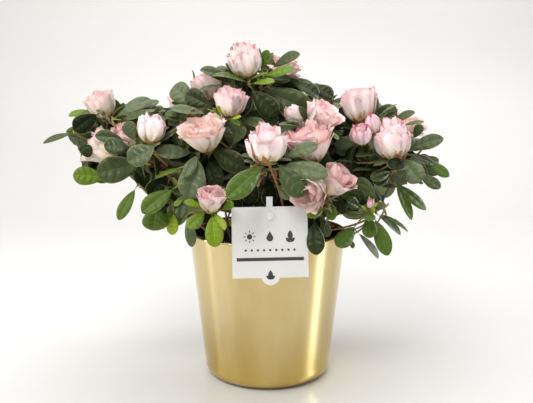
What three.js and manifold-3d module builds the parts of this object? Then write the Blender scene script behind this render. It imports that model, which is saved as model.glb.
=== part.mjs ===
// A compact pink double-flowered rhododendron in a tapering gold-glazed pot, with a blank label on a stake.
// Millimetres, +Z up. The origin is the centre of the pot's flat underside, and the front faces -Y.

import * as THREE from "three";
import { mergeVertices } from "three/addons/utils/BufferGeometryUtils.js";
import Module from "manifold-3d";

const wasm = await Module();
wasm.setup();

// Clearance that every piece keeps to its neighbours.
const GAP = 0.3;

// Pot: radii are of the outer wall, carried straight down to the ground for the foot.
const POT = {
  height: 131,
  rimRadius: 70,
  footRadius: 55.3,
  wall: 3.8,
  floor: 5,
  corner: 10.5,
  sides: 36,
};
const SOIL = { level: 121, sides: 24, shoulder: 3 };

// Trunk: a short woody stem from the soil to the fork inside the crown.
const TRUNK = {
  foot: [-2, 4],
  tip: [-6, 8],
  top: 166,
  rootRadius: 8,
  tipRadius: 5.4,
  flare: 0.55,
  flareHeight: 0.22,
  sides: 10,
  steps: 7,
};

const BOUGH = { rootRadius: 2.6, tipRadius: 1.9, sides: 5, steps: 3, stopsAt: 0.62 };
const STEM = { tipRadius: 1.7, sides: 4, steps: 2, reach: 0.15 };
const TWIG = { rootRadius: 1.3, tipRadius: 1.5, sides: 3, touch: 45 };

// Shoots stop short of the edge of their mass, so that their leaves reach it.
const SHOOT = { inset: 23, leaves: 6, bloomLeaves: 6, cap: 120, clearOfBloom: 34 };
const LEAF = {
  length: [38, 48],
  slender: 0.54,
  thickness: 1,
  sunk: 0.3,
  droop: 0.14,
  skew: 0.82,
  whorlStep: 2.2,
  belowTip: 1,
  spread: [46, 76],
  belowBloom: 3.5,
  spreadUnderBloom: [62, 86],
  shrinks: [1, 0.82, 0.66],
  touch: 0.6,
};
const BLOOM = { petals: 5, sunk: 1.5, touch: 500, shrinks: [1, 0.9, 0.8, 0.7, 0.6], space: 9 };

// Shares of a bloom's diameter, and of its height where they lie along it.
const BLOOM_SHAPES = {
  open: { height: 0.72, waist: 0.6, rim: 1, widest: 0.75, ruffle: 0.16 },
  cup: { height: 0.98, waist: 0.68, rim: 0.96, widest: 0.76, ruffle: 0.1 },
  bud: { height: 1.4, waist: 0.75, rim: 0.9, widest: 0.6, ruffle: 0 },
};

const LABEL = {
  width: 60,
  height: 56,
  thickness: 0.6,
  tabRadius: 7.4,
  tabRise: 1.6,
  holeRadius: 2.2,
  holeDrop: 7.5,
  centreX: 1.5,
  bottom: [-85, 108],
  lean: 12,
  swing: 1.2,
  cornerRadius: 0.6,
  clear: 2.5,
  topCovered: 12,
};
const STAKE = {
  width: 5,
  thickness: 1.6,
  footY: -57,
  kneeBelowHole: 9,
  riseAboveLabel: 8,
  pegRadius: 1.7,
  headRadius: 3.1,
  headThickness: 1.1,
};

// The masses of foliage. Each has a centre, a radius and the height where its bough leaves the trunk.
// A bloom is [bearing, elevation, diameter, kind] from the mass's centre, with bearing 0 to the front
// and 90 to the right.
const MASSES = [
  {
    name: "top",
    centre: [-12, 8, 248],
    radius: 46,
    bough: 165,
    shoots: 6,
    blooms: [
      [-17, 42, 32, "cup"],
      [63, 40, 30, "open"],
    ],
  },
  {
    name: "upper_left",
    centre: [-56, -28, 228],
    radius: 43,
    bough: 156,
    shoots: 4,
    blooms: [
      [90, 76, 30, "open"],
      [54, 25, 30, "cup"],
      [8, -16, 40, "open"],
    ],
  },
  {
    name: "upper_right",
    centre: [42, -28, 224],
    radius: 43,
    bough: 157,
    shoots: 4,
    blooms: [
      [6, 11, 34, "cup"],
      [-19, -33, 40, "open"],
      [-38, 12, 14, "bud"],
    ],
  },
  {
    name: "right_top",
    centre: [88, -6, 220],
    radius: 38,
    bough: 153,
    shoots: 4,
    blooms: [
      [-33, 38, 38, "cup"],
      [-14, -3, 18, "bud"],
      [9, 14, 14, "bud"],
    ],
  },
  {
    name: "far_left",
    centre: [-140, 4, 207],
    radius: 48,
    bough: 151,
    shoots: 6,
    blooms: [
      [-5, 59, 30, "cup"],
      [-3, -5, 38, "open"],
      [34, 10, 26, "open"],
    ],
  },
  {
    name: "mid_left",
    centre: [-97, -47, 199],
    radius: 41,
    bough: 145,
    shoots: 4,
    blooms: [[19, 48, 26, "bud"]],
  },
  {
    name: "front",
    centre: [-4, -76, 196],
    radius: 40,
    bough: 148,
    shoots: 4,
    blooms: [[9, 35, 34, "cup"]],
  },
  {
    name: "right",
    centre: [116, -12, 192],
    radius: 44,
    bough: 146,
    shoots: 6,
    blooms: [
      [-30, 35, 34, "cup"],
      [95, 80, 30, "open"],
    ],
  },
  {
    name: "inner_left",
    centre: [-64, 40, 211],
    radius: 43,
    bough: 154,
    shoots: 4,
    blooms: [
      [-150, 50, 32, "cup"],
      [170, 70, 34, "open"],
    ],
  },
  {
    name: "inner_right",
    centre: [48, 44, 214],
    radius: 43,
    bough: 159,
    shoots: 4,
    blooms: [[140, 50, 36, "open"]],
  },
  {
    name: "back_right",
    centre: [92, 62, 202],
    radius: 46,
    bough: 140,
    shoots: 6,
    blooms: [
      [150, 38, 34, "cup"],
      [100, 10, 36, "open"],
    ],
  },
  {
    name: "back",
    centre: [-12, 86, 214],
    radius: 48,
    bough: 152,
    shoots: 6,
    blooms: [
      [170, 40, 38, "open"],
      [-140, 5, 32, "cup"],
      [130, -10, 20, "bud"],
    ],
  },
  {
    name: "back_left",
    centre: [-108, 70, 200],
    radius: 46,
    bough: 144,
    shoots: 6,
    blooms: [
      [-150, 42, 34, "cup"],
      [-110, 0, 38, "open"],
    ],
  },
  {
    name: "low_left",
    centre: [-86, -40, 168],
    radius: 34,
    bough: 138,
    shoots: 4,
    blooms: [],
  },
  {
    name: "low_front_left",
    centre: [-49, -66, 164],
    radius: 34,
    bough: 133,
    shoots: 4,
    blooms: [[11, 33, 26, "cup"]],
  },
  {
    name: "low_front_right",
    centre: [46, -70, 168],
    radius: 35,
    bough: 136,
    shoots: 4,
    blooms: [
      [30, 37, 34, "open"],
      [-30, 14, 34, "open"],
    ],
  },
  {
    name: "low_right",
    centre: [91, -36, 157],
    radius: 37,
    bough: 131,
    shoots: 4,
    blooms: [[-14, 14, 12, "bud"]],
  },
  {
    name: "low_back_right",
    centre: [70, 78, 162],
    radius: 40,
    bough: 133,
    shoots: 4,
    blooms: [[150, 20, 30, "cup"]],
  },
  {
    name: "low_back",
    centre: [-14, 102, 166],
    radius: 40,
    bough: 139,
    shoots: 4,
    blooms: [[175, 8, 34, "open"]],
  },
  {
    name: "low_back_left",
    centre: [-92, 72, 162],
    radius: 40,
    bough: 134,
    shoots: 4,
    blooms: [[-120, -5, 28, "cup"]],
  },
];

const FINISH = {
  gold: { color: 0xd2b469, metalness: 1, roughness: 0.16 },
  soil: { color: 0x2a1d15, metalness: 0, roughness: 1 },
  bark: { color: 0x6b4531, metalness: 0, roughness: 0.85 },
  foliage: { color: 0x3f5f33, metalness: 0, roughness: 0.5 },
  card: { color: 0xecebe6, metalness: 0, roughness: 0.6 },
  clear: { color: 0xe6eaea, metalness: 0, roughness: 0.15 },
};

const GOLDEN_ANGLE = Math.PI * (3 - Math.sqrt(5));
const UP = new THREE.Vector3(0, 0, 1);

// A run of random numbers from 0 to 1 that is the same each time for the same seed.
function randomFrom(seed) {
  let state = Math.imul(seed + 1, 2654435761) >>> 0;
  return () => {
    state = (Math.imul(state, 1664525) + 1013904223) >>> 0;
    return state / 4294967296;
  };
}

function between(random, [low, high]) {
  return low + (high - low) * random();
}

// The unit direction at a bearing from the front and an elevation, both in degrees.
function directionAt(bearing, elevation) {
  const b = THREE.MathUtils.degToRad(bearing);
  const e = THREE.MathUtils.degToRad(elevation);
  return new THREE.Vector3(Math.sin(b) * Math.cos(e), -Math.cos(b) * Math.cos(e), Math.sin(e));
}

// Solids

// A closed geometry as a solid that can be joined and cut.
function solidOf(geometry) {
  const bare = new THREE.BufferGeometry();
  bare.setAttribute("position", geometry.getAttribute("position").clone());
  if (geometry.index) bare.setIndex(geometry.index.clone());
  const merged = mergeVertices(bare, 1e-4);
  return new wasm.Manifold(
    new wasm.Mesh({
      numProp: 3,
      vertProperties: merged.attributes.position.array,
      triVerts: new Uint32Array(merged.index.array),
    }),
  );
}

// A solid's largest body, with any sealed hollow filled.
function wholeOf(solid) {
  const bodies = solid.decompose().filter((body) => body.volume() > 0);
  bodies.sort((a, b) => b.volume() - a.volume());
  return bodies[0];
}

function fused(solids) {
  return wholeOf(wasm.Manifold.union(solids).simplify(0.004));
}

function geometryOf(solid) {
  const mesh = solid.getMesh();
  const geometry = new THREE.BufferGeometry();
  geometry.setAttribute("position", new THREE.BufferAttribute(new Float32Array(mesh.vertProperties), 3));
  geometry.setIndex(new THREE.BufferAttribute(new Uint32Array(mesh.triVerts), 1));
  geometry.computeVertexNormals();
  return geometry;
}

function namedMesh(name, geometry, finish) {
  const mesh = new THREE.Mesh(geometry, new THREE.MeshStandardMaterial(FINISH[finish]));
  mesh.name = name;
  return mesh;
}

// Pot and soil

function potOuterRadius(z) {
  return POT.footRadius + ((POT.rimRadius - POT.footRadius) * z) / POT.height;
}

function potGeometry() {
  const lip = POT.wall / 2;
  const corner = POT.corner;
  const inner = (z) => potOuterRadius(z) - POT.wall;
  const outline = [new THREE.Vector2(0, 0)];
  const cornerCentre = potOuterRadius(corner) - corner;
  for (let angle = -90; angle <= 0; angle += 45) {
    const a = THREE.MathUtils.degToRad(angle);
    outline.push(new THREE.Vector2(cornerCentre + corner * Math.cos(a), corner + corner * Math.sin(a)));
  }
  for (let angle = 0; angle <= 180; angle += 45) {
    const a = THREE.MathUtils.degToRad(angle);
    const middle = potOuterRadius(POT.height - lip) - lip;
    outline.push(new THREE.Vector2(middle + lip * Math.cos(a), POT.height - lip + lip * Math.sin(a)));
  }
  outline.push(new THREE.Vector2(inner(POT.floor + corner / 2), POT.floor + corner / 2));
  outline.push(new THREE.Vector2(inner(POT.floor) - corner / 2, POT.floor));
  outline.push(new THREE.Vector2(0, POT.floor));
  return new THREE.LatheGeometry(outline, POT.sides).rotateX(Math.PI / 2);
}

function soilGeometry() {
  // The sides of a many-sided inner wall lie inside its circle, so the soil is drawn in by that much more.
  const flats = 1 - Math.cos(Math.PI / POT.sides);
  const inner = (z) => (potOuterRadius(z) - POT.wall) * (1 - flats) - GAP;
  const bottom = POT.floor + GAP;
  const bend = POT.floor + POT.corner / 2 + GAP;
  const outline = [
    new THREE.Vector2(0, bottom),
    new THREE.Vector2(inner(bottom) - POT.corner / 2 - GAP, bottom),
    new THREE.Vector2(inner(bend) - GAP, bend),
    new THREE.Vector2(inner(SOIL.level - SOIL.shoulder), SOIL.level - SOIL.shoulder),
    new THREE.Vector2(inner(SOIL.level) - 2 * SOIL.shoulder, SOIL.level),
    new THREE.Vector2(0, SOIL.level),
  ];
  return new THREE.LatheGeometry(outline, SOIL.sides).rotateX(Math.PI / 2);
}

// Limbs

// A tapering limb: a cylinder's rings carried along a curve, with a swell that may flare its root.
function limbGeometry(curve, rootRadius, tipRadius, sides, steps, swell = () => 1) {
  const geometry = new THREE.CylinderGeometry(tipRadius, rootRadius, 1, sides, steps);
  const frames = curve.computeFrenetFrames(steps, false);
  const position = geometry.attributes.position;
  for (let i = 0; i < position.count; i += 1) {
    const along = position.getY(i) + 0.5;
    const ring = Math.round(along * steps);
    const wide = swell(along);
    const point = curve
      .getPointAt(Math.min(1, Math.max(0, along)))
      .addScaledVector(frames.normals[ring], position.getX(i) * wide)
      .addScaledVector(frames.binormals[ring], -position.getZ(i) * wide);
    position.setXYZ(i, point.x, point.y, point.z);
  }
  return geometry;
}

function trunkCurve() {
  const foot = new THREE.Vector3(...TRUNK.foot, SOIL.level + GAP);
  const tip = new THREE.Vector3(...TRUNK.tip, TRUNK.top);
  const middle = foot.clone().lerp(tip, 0.5).add(new THREE.Vector3(1.5, -1, 0));
  return new THREE.QuadraticBezierCurve3(foot, middle, tip);
}

function trunkGeometry(grown = 0) {
  const flare = (along) => 1 + TRUNK.flare * Math.max(0, 1 - along / TRUNK.flareHeight) ** 2;
  const made = limbGeometry(
    trunkCurve(),
    TRUNK.rootRadius + grown,
    TRUNK.tipRadius + grown,
    TRUNK.sides,
    TRUNK.steps,
    flare,
  );
  // The cut at ground level is flat, whatever the trunk's lean, and so is the tip.
  const position = made.attributes.position;
  const ground = SOIL.level + GAP;
  for (let i = 0; i < position.count; i += 1) {
    if (position.getZ(i) < ground + 1.5) position.setZ(i, ground);
    if (position.getZ(i) > TRUNK.top - 1.5) position.setZ(i, TRUNK.top + grown);
  }
  return made;
}

// A bough leaves the trunk's axis at its height and ends where it enters its mass.
function boughCurve(mass, trunkAxis) {
  const share = (mass.bough - SOIL.level) / (TRUNK.top - SOIL.level);
  const start = trunkAxis.getPointAt(Math.min(0.98, share));
  const centre = new THREE.Vector3(...mass.centre);
  const whole = centre.clone().sub(start);
  const end = centre.clone().addScaledVector(whole.clone().normalize(), -BOUGH.stopsAt * mass.radius);
  const reach = end.clone().sub(start);
  const control = start
    .clone()
    .add(new THREE.Vector3(reach.x * 0.42, reach.y * 0.42, reach.z * 0.5 + 0.05 * reach.length()));
  return new THREE.QuadraticBezierCurve3(start, control, end);
}

// Points and radii along a limb, to keep other pieces clear of it.
function capsulesOf(curve, rootRadius, tipRadius, count = 12) {
  const capsules = [];
  for (let i = 0; i < count; i += 1) {
    const from = curve.getPointAt(i / count);
    const to = curve.getPointAt((i + 1) / count);
    const radius = rootRadius + ((tipRadius - rootRadius) * i) / count;
    capsules.push({ line: new THREE.Line3(from, to), radius });
  }
  return capsules;
}

const nearest = new THREE.Vector3();

function clearOfCapsules(point, margin, capsules) {
  return capsules.every(({ line, radius }) => {
    line.closestPointToPoint(point, true, nearest);
    return nearest.distanceTo(point) > radius + margin;
  });
}

// Space that a mass keeps to

// The spheres that a mass has a claim to: its own, and one round each of its blooms.
function spheresOf(mass) {
  const centre = new THREE.Vector3(...mass.centre);
  const blooms = mass.blooms.map(([bearing, elevation, diameter, kind]) => {
    const half = (diameter * BLOOM_SHAPES[kind].height) / 2;
    const middle = directionAt(bearing, elevation).multiplyScalar(mass.radius - SHOOT.inset + half);
    return { centre: centre.clone().add(middle), radius: diameter / 2 + BLOOM.space };
  });
  return [{ centre, radius: mass.radius }, ...blooms];
}

const CLAIMS = MASSES.map(spheresOf);

// A point is a mass's own where it lies deeper in that mass's spheres than in any other's.
function ownsPoint(index, point, margin) {
  const depthIn = (sphere) => sphere.radius - sphere.centre.distanceTo(point);
  const depths = CLAIMS.map((claims) => Math.max(...claims.map(depthIn)));
  return depths.every((depth, other) => other === index || depths[index] - depth > 2 * margin);
}

function labelFrame() {
  const lean = THREE.MathUtils.degToRad(LABEL.lean);
  const up = new THREE.Vector3(0, Math.sin(lean), Math.cos(lean));
  const out = new THREE.Vector3(0, -Math.cos(lean), Math.sin(lean));
  const foot = new THREE.Vector3(LABEL.centreX, ...LABEL.bottom);
  return { up, out, foot };
}

// Nothing grows into the pot, nor in front of the label or against its stake.
function clearOfHardware(point, margin) {
  const radial = Math.hypot(point.x, point.y);
  if (point.z < POT.height + margin + 1 && radial < potOuterRadius(point.z) + margin + 1) return false;
  const { up, out, foot } = labelFrame();
  const fromFoot = point.clone().sub(foot);
  const across = Math.abs(point.x - LABEL.centreX);
  const high = fromFoot.dot(up);
  const ahead = fromFoot.dot(out);
  const overLabel = across < LABEL.width / 2 + 2 && high > -LABEL.tabRadius - 2 && high < LABEL.height + 2;
  if (overLabel && Math.abs(ahead) < LABEL.clear) return false;
  if (overLabel && ahead > 0 && high < LABEL.height - LABEL.topCovered) return false;
  return !(across < STAKE.width && high < LABEL.height + STAKE.riseAboveLabel + 3 && ahead > -20);
}

// Leaves, blooms and shoots

// A leaf is a blade of eight faces, from its root along a heading, with its face turned to a side.
function leafGeometry(root, heading, face, length) {
  const along = heading.clone().normalize();
  const up = face.clone().addScaledVector(along, -face.dot(along)).normalize();
  const across = along.clone().cross(up);
  const geometry = new THREE.OctahedronGeometry(1);
  const position = geometry.attributes.position;
  const halfWidth = (length * LEAF.slender) / 2;
  for (let i = 0; i < position.count; i += 1) {
    const share = Math.max(0, (position.getX(i) + 1) / 2) ** LEAF.skew;
    const point = root
      .clone()
      .addScaledVector(along, share * length - LEAF.sunk)
      .addScaledVector(across, position.getZ(i) * halfWidth)
      .addScaledVector(up, (position.getY(i) * LEAF.thickness) / 2 - LEAF.droop * length * share * share);
    position.setXYZ(i, point.x, point.y, point.z);
  }
  return geometry;
}

// A double bloom: a lathed rosette whose rings swell at each petal, or a plain oval bud.
function bloomGeometry(base, axis, diameter, kind) {
  const shape = BLOOM_SHAPES[kind];
  const half = diameter / 2;
  const high = diameter * shape.height;
  const outline = [
    new THREE.Vector2(0, 0),
    new THREE.Vector2(half * shape.waist, 0.22 * high),
    new THREE.Vector2(half * shape.rim, shape.widest * high),
    new THREE.Vector2(0, high),
  ];
  const sides = shape.ruffle ? 2 * BLOOM.petals : BLOOM.petals;
  const geometry = new THREE.LatheGeometry(outline, sides);
  const position = geometry.attributes.position;
  const turn = new THREE.Quaternion().setFromUnitVectors(new THREE.Vector3(0, 1, 0), axis);
  for (let i = 0; i < position.count; i += 1) {
    const around = Math.atan2(position.getX(i), position.getZ(i));
    const wave = 1 + shape.ruffle * Math.cos(BLOOM.petals * around);
    const point = new THREE.Vector3().fromBufferAttribute(position, i);
    point.multiplyScalar(wave).applyQuaternion(turn).add(base);
    position.setXYZ(i, point.x, point.y, point.z);
  }
  return geometry;
}

// Where a mass's shoots end: its blooms first, then leafy shoots spread evenly over its outer side.
function shootPlan(mass, index) {
  const random = randomFrom(100 + index);
  const centre = new THREE.Vector3(...mass.centre);
  const axis = centre.clone().sub(new THREE.Vector3(...TRUNK.tip, TRUNK.top)).normalize();
  const tipAt = (direction) => centre.clone().addScaledVector(direction, mass.radius - SHOOT.inset);
  const plan = mass.blooms.map(([bearing, elevation, diameter, kind]) => {
    const direction = directionAt(bearing, elevation);
    return { direction, tip: tipAt(direction), bloom: { diameter, kind } };
  });
  const toAxis = new THREE.Quaternion().setFromUnitVectors(UP, axis);
  const phase = random() * 2 * Math.PI;
  const edge = Math.cos(THREE.MathUtils.degToRad(SHOOT.cap));
  const apart = Math.cos(THREE.MathUtils.degToRad(SHOOT.clearOfBloom));
  for (let k = 0; k < mass.shoots; k += 1) {
    const rise = 1 - ((1 - edge) * (k + 0.5)) / mass.shoots;
    const around = phase + k * GOLDEN_ANGLE;
    const flat = Math.sqrt(1 - rise * rise);
    const direction = new THREE.Vector3(flat * Math.cos(around), flat * Math.sin(around), rise);
    direction.applyQuaternion(toAxis);
    if (plan.some((other) => other.bloom && other.direction.dot(direction) > apart)) continue;
    plan.push({ direction, tip: tipAt(direction), bloom: null });
  }
  return plan;
}

// Points along every edge of a piece's faces, to test where it lies.
function outlinePoints(geometry) {
  const faces = geometry.index ? geometry.toNonIndexed() : geometry;
  const position = faces.attributes.position;
  const points = [];
  for (let i = 0; i < position.count; i += 3) {
    const corners = [0, 1, 2].map((k) => new THREE.Vector3().fromBufferAttribute(position, i + k));
    corners.forEach((corner, k) => {
      const next = corners[(k + 1) % 3];
      for (const share of [0, 0.25, 0.5, 0.75]) points.push(corner.clone().lerp(next, share));
    });
  }
  return points;
}

// A mass of foliage, grown from one stem. What would leave its space, touch a limb or lie in another leaf
// is skipped.
function foliageSolid(mass, index, boughs, limbs) {
  const random = randomFrom(601 + index);
  const bough = boughs[index];
  const heading = bough.getTangentAt(1);
  const stemFoot = bough.getPointAt(1).addScaledVector(heading, GAP);
  const stemTip = new THREE.Vector3(...mass.centre).addScaledVector(heading, STEM.reach * mass.radius);
  const stemMiddle = stemFoot.clone().addScaledVector(heading, 0.5 * stemTip.distanceTo(stemFoot));
  const stem = new THREE.QuadraticBezierCurve3(stemFoot, stemMiddle, stemTip);
  let grown = solidOf(limbGeometry(stem, BOUGH.tipRadius, STEM.tipRadius, STEM.sides, STEM.steps));

  const fits = (points, margin) =>
    points.every(
      (p) => ownsPoint(index, p, margin) && clearOfHardware(p, margin) && clearOfCapsules(p, margin, limbs),
    );
  const growIfItFits = (geometry, mayTouch) => {
    if (!fits(outlinePoints(geometry), GAP)) return false;
    const solid = solidOf(geometry);
    if (solid.intersect(grown).volume() > mayTouch) return false;
    grown = grown.add(solid);
    return true;
  };

  // The shoots that go furthest forward leave the stem nearest its tip. Twigs and blooms come before leaves.
  const shoots = shootPlan(mass, index);
  const order = [...shoots].sort((a, b) => a.direction.dot(heading) - b.direction.dot(heading));
  const leafy = [];
  for (const shoot of shoots) {
    const start = stem.getPointAt((order.indexOf(shoot) + 1) / (shoots.length + 0.2));
    const twig = new THREE.LineCurve3(start, shoot.tip);
    const limb = limbGeometry(twig, TWIG.rootRadius, TWIG.tipRadius, TWIG.sides, 1);
    if (!growIfItFits(limb, TWIG.touch)) continue;
    const axis = twig.getTangentAt(1).lerp(shoot.direction, 0.5).addScaledVector(UP, 0.25).normalize();
    leafy.push({
      twig,
      axis,
      count: shoot.bloom ? SHOOT.bloomLeaves : SHOOT.leaves,
      spread: shoot.bloom ? LEAF.spreadUnderBloom : LEAF.spread,
      firstBack: shoot.bloom ? LEAF.belowBloom : LEAF.belowTip,
    });
    if (!shoot.bloom) continue;
    const { diameter, kind } = shoot.bloom;
    const base = shoot.tip.clone().addScaledVector(axis, -BLOOM.sunk);
    BLOOM.shrinks.some((shrink) => {
      const rosette = bloomGeometry(base, axis, diameter * shrink, kind);
      return growIfItFits(rosette, BLOOM.touch);
    });
  }
  for (const { twig, axis, count, spread, firstBack } of leafy) {
    const crosswise = Math.abs(axis.z) > 0.9 ? new THREE.Vector3(1, 0, 0) : UP;
    const side = new THREE.Vector3().crossVectors(axis, crosswise).normalize();
    const face = axis.clone().addScaledVector(UP, 0.5);
    const phase = random() * 2 * Math.PI;
    for (let k = 0; k < count; k += 1) {
      const slant = THREE.MathUtils.degToRad(between(random, spread));
      const length = between(random, LEAF.length);
      const out = side.clone().applyAxisAngle(axis, phase + k * GOLDEN_ANGLE);
      const leafHeading = axis.clone().multiplyScalar(Math.cos(slant));
      leafHeading.addScaledVector(out, Math.sin(slant));
      const root = twig.getPointAt(Math.max(0.2, 1 - (firstBack + k * LEAF.whorlStep) / twig.getLength()));
      LEAF.shrinks.some((shrink) => {
        const leaf = leafGeometry(root, leafHeading, face, length * shrink);
        return growIfItFits(leaf, LEAF.touch);
      });
    }
  }
  return fused([grown]);
}

// Label and stake

function labelGeometry() {
  const half = LABEL.width / 2;
  const r = LABEL.cornerRadius;
  const tab = Math.sqrt(LABEL.tabRadius ** 2 - LABEL.tabRise ** 2);
  const dip = Math.asin(LABEL.tabRise / LABEL.tabRadius);
  const shape = new THREE.Shape();
  shape.moveTo(-half + r, 0);
  shape.lineTo(-tab, 0);
  shape.absarc(0, LABEL.tabRise, LABEL.tabRadius, Math.PI + dip, 2 * Math.PI - dip, false);
  shape.lineTo(half - r, 0);
  shape.absarc(half - r, r, r, -Math.PI / 2, 0, false);
  shape.lineTo(half, LABEL.height - r);
  shape.absarc(half - r, LABEL.height - r, r, 0, Math.PI / 2, false);
  shape.lineTo(-half + r, LABEL.height);
  shape.absarc(-half + r, LABEL.height - r, r, Math.PI / 2, Math.PI, false);
  shape.lineTo(-half, r);
  shape.absarc(-half + r, r, r, Math.PI, 1.5 * Math.PI, false);
  const hole = new THREE.Path();
  hole.absarc(0, LABEL.height - LABEL.holeDrop, LABEL.holeRadius, 0, 2 * Math.PI, true);
  shape.holes.push(hole);
  const thick = { depth: LABEL.thickness, bevelEnabled: false, curveSegments: 5 };
  const holeHigh = LABEL.height - LABEL.holeDrop;
  // The label hangs a little askew, turned about its peg.
  return new THREE.ExtrudeGeometry(shape, thick)
    .translate(0, -holeHigh, 0)
    .rotateZ(THREE.MathUtils.degToRad(LABEL.swing))
    .translate(0, holeHigh, 0);
}

// The label's own x, y and z are across it, up it and out of its face.
function placeOnLabel(geometry) {
  const { up, out, foot } = labelFrame();
  const place = new THREE.Matrix4().makeBasis(new THREE.Vector3(1, 0, 0), up, out).setPosition(foot);
  return geometry.applyMatrix4(place);
}

// A bent strip behind the label, with a peg through the label's hole and a round head in front.
function stakeSolid() {
  const { up, out, foot } = labelFrame();
  const back = -GAP;
  const holeHigh = LABEL.height - LABEL.holeDrop;
  const onLabel = (high, ahead) => foot.clone().addScaledVector(up, high).addScaledVector(out, ahead);
  const knee = onLabel(holeHigh - STAKE.kneeBelowHole, back);
  const kneeBack = onLabel(holeHigh - STAKE.kneeBelowHole, back - STAKE.thickness);
  const tip = onLabel(LABEL.height + STAKE.riseAboveLabel, back);
  const tipBack = onLabel(LABEL.height + STAKE.riseAboveLabel, back - STAKE.thickness);
  const profile = new THREE.Shape([
    new THREE.Vector2(STAKE.footY, SOIL.level + GAP),
    new THREE.Vector2(knee.y, knee.z),
    new THREE.Vector2(tip.y, tip.z),
    new THREE.Vector2(tipBack.y, tipBack.z),
    new THREE.Vector2(kneeBack.y, kneeBack.z),
    new THREE.Vector2(STAKE.footY + STAKE.thickness, SOIL.level + GAP),
  ]);
  const strip = new THREE.ExtrudeGeometry(profile, { depth: STAKE.width, bevelEnabled: false });
  // Drawn as y and z, and thick along x.
  const [across, along, high] = [0, 1, 2].map((axis) => new THREE.Vector3().setComponent(axis, 1));
  strip.applyMatrix4(new THREE.Matrix4().makeBasis(along, high, across));
  strip.translate(LABEL.centreX - STAKE.width / 2, 0, 0);
  const pegLength = LABEL.thickness + 2 * GAP + 1;
  const peg = new THREE.CylinderGeometry(STAKE.pegRadius, STAKE.pegRadius, pegLength, 12);
  peg.rotateX(Math.PI / 2).translate(0, holeHigh, LABEL.thickness + 2 * GAP - pegLength / 2);
  const head = new THREE.CylinderGeometry(STAKE.headRadius, STAKE.headRadius, STAKE.headThickness, 12);
  head.rotateX(Math.PI / 2).translate(0, holeHigh, LABEL.thickness + GAP + STAKE.headThickness / 2);
  return fused([solidOf(strip), solidOf(placeOnLabel(peg)), solidOf(placeOnLabel(head))]);
}

// The whole plant in its pot

function pottedPlant() {
  const group = new THREE.Group();
  group.add(namedMesh("pot", potGeometry(), "gold"));
  group.add(namedMesh("soil", soilGeometry(), "soil"));
  group.add(namedMesh("trunk", trunkGeometry(), "bark"));

  const trunkAxis = trunkCurve();
  const trunkKeepOut = solidOf(trunkGeometry(1.2 * GAP));
  const boughs = MASSES.map((mass) => boughCurve(mass, trunkAxis));
  const limbs = capsulesOf(trunkAxis, TRUNK.rootRadius, TRUNK.tipRadius);
  MASSES.forEach((mass, index) => {
    const whole = limbGeometry(boughs[index], BOUGH.rootRadius, BOUGH.tipRadius, BOUGH.sides, BOUGH.steps);
    const bough = wholeOf(solidOf(whole).subtract(trunkKeepOut));
    group.add(namedMesh(`bough_${mass.name}`, geometryOf(bough), "bark"));
    limbs.push(...capsulesOf(boughs[index], BOUGH.rootRadius, BOUGH.tipRadius));
  });
  MASSES.forEach((mass, index) => {
    const foliage = geometryOf(foliageSolid(mass, index, boughs, limbs));
    group.add(namedMesh(`foliage_${mass.name}`, foliage, "foliage"));
  });

  group.add(namedMesh("label_card", placeOnLabel(labelGeometry()), "card"));
  group.add(namedMesh("label_stake", geometryOf(stakeSolid()), "clear"));
  return group;
}

export default pottedPlant();
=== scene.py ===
"""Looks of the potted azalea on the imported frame: leaves, double blooms, bark, soil, gold pot and care card.

The plant is worked out in millimetres, by the rule that its solids follow. Each mesh is then made in metres.
"""

import math

import bpy
import numpy as np
from mathutils import Matrix, Vector, noise


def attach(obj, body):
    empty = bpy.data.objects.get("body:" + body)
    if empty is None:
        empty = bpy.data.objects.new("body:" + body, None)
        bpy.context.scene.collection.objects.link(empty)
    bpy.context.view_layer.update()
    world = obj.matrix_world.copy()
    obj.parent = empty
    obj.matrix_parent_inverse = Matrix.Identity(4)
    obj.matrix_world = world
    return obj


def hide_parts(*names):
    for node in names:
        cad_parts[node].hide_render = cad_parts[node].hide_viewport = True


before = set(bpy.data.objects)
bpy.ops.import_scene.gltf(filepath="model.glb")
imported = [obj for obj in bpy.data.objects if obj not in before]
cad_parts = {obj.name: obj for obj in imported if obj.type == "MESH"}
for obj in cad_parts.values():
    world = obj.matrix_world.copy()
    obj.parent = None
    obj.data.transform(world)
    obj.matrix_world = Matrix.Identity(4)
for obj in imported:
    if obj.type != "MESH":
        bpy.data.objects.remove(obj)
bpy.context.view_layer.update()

MM = 0.001
GOLDEN_ANGLE = math.pi * (3 - math.sqrt(5))
UP = np.array([0.0, 0.0, 1.0])

# Sizes that the solids share, in millimetres. The gap is the air between two solids of the plant.
GAP = 0.3
POT = {"height": 131, "rim": 70, "foot": 55.3, "wall": 3.8, "floor": 5, "corner": 10.5}
SOIL_LEVEL = 121
TRUNK = {"foot": (-2, 4), "tip": (-6, 8), "top": 166, "root_radius": 8, "tip_radius": 5.4, "flare": 0.55}
FLARE_SHARE = 0.22
BOUGH = {"root_radius": 2.6, "tip_radius": 1.9, "stops_at": 0.62}
STEM = {"tip_radius": 1.5, "reach": 0.15}
SHOOT = {"inset": 23, "cap": 120, "clear_of_bloom": 34}
SEEDS = {"shoots": 100, "growth": 900, "crumbs": 4000}
LABEL = {
    "width": 60,
    "height": 56,
    "thickness": 0.6,
    "tab_radius": 7.4,
    "tab_rise": 1.6,
    "corner_radius": 0.6,
    "hole_radius": 2.2,
    "hole_drop": 7.5,
    "centre_x": 1.5,
    "foot": (-85, 108),
    "lean": math.radians(12),
    "swing": math.radians(1.2),
}

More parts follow.
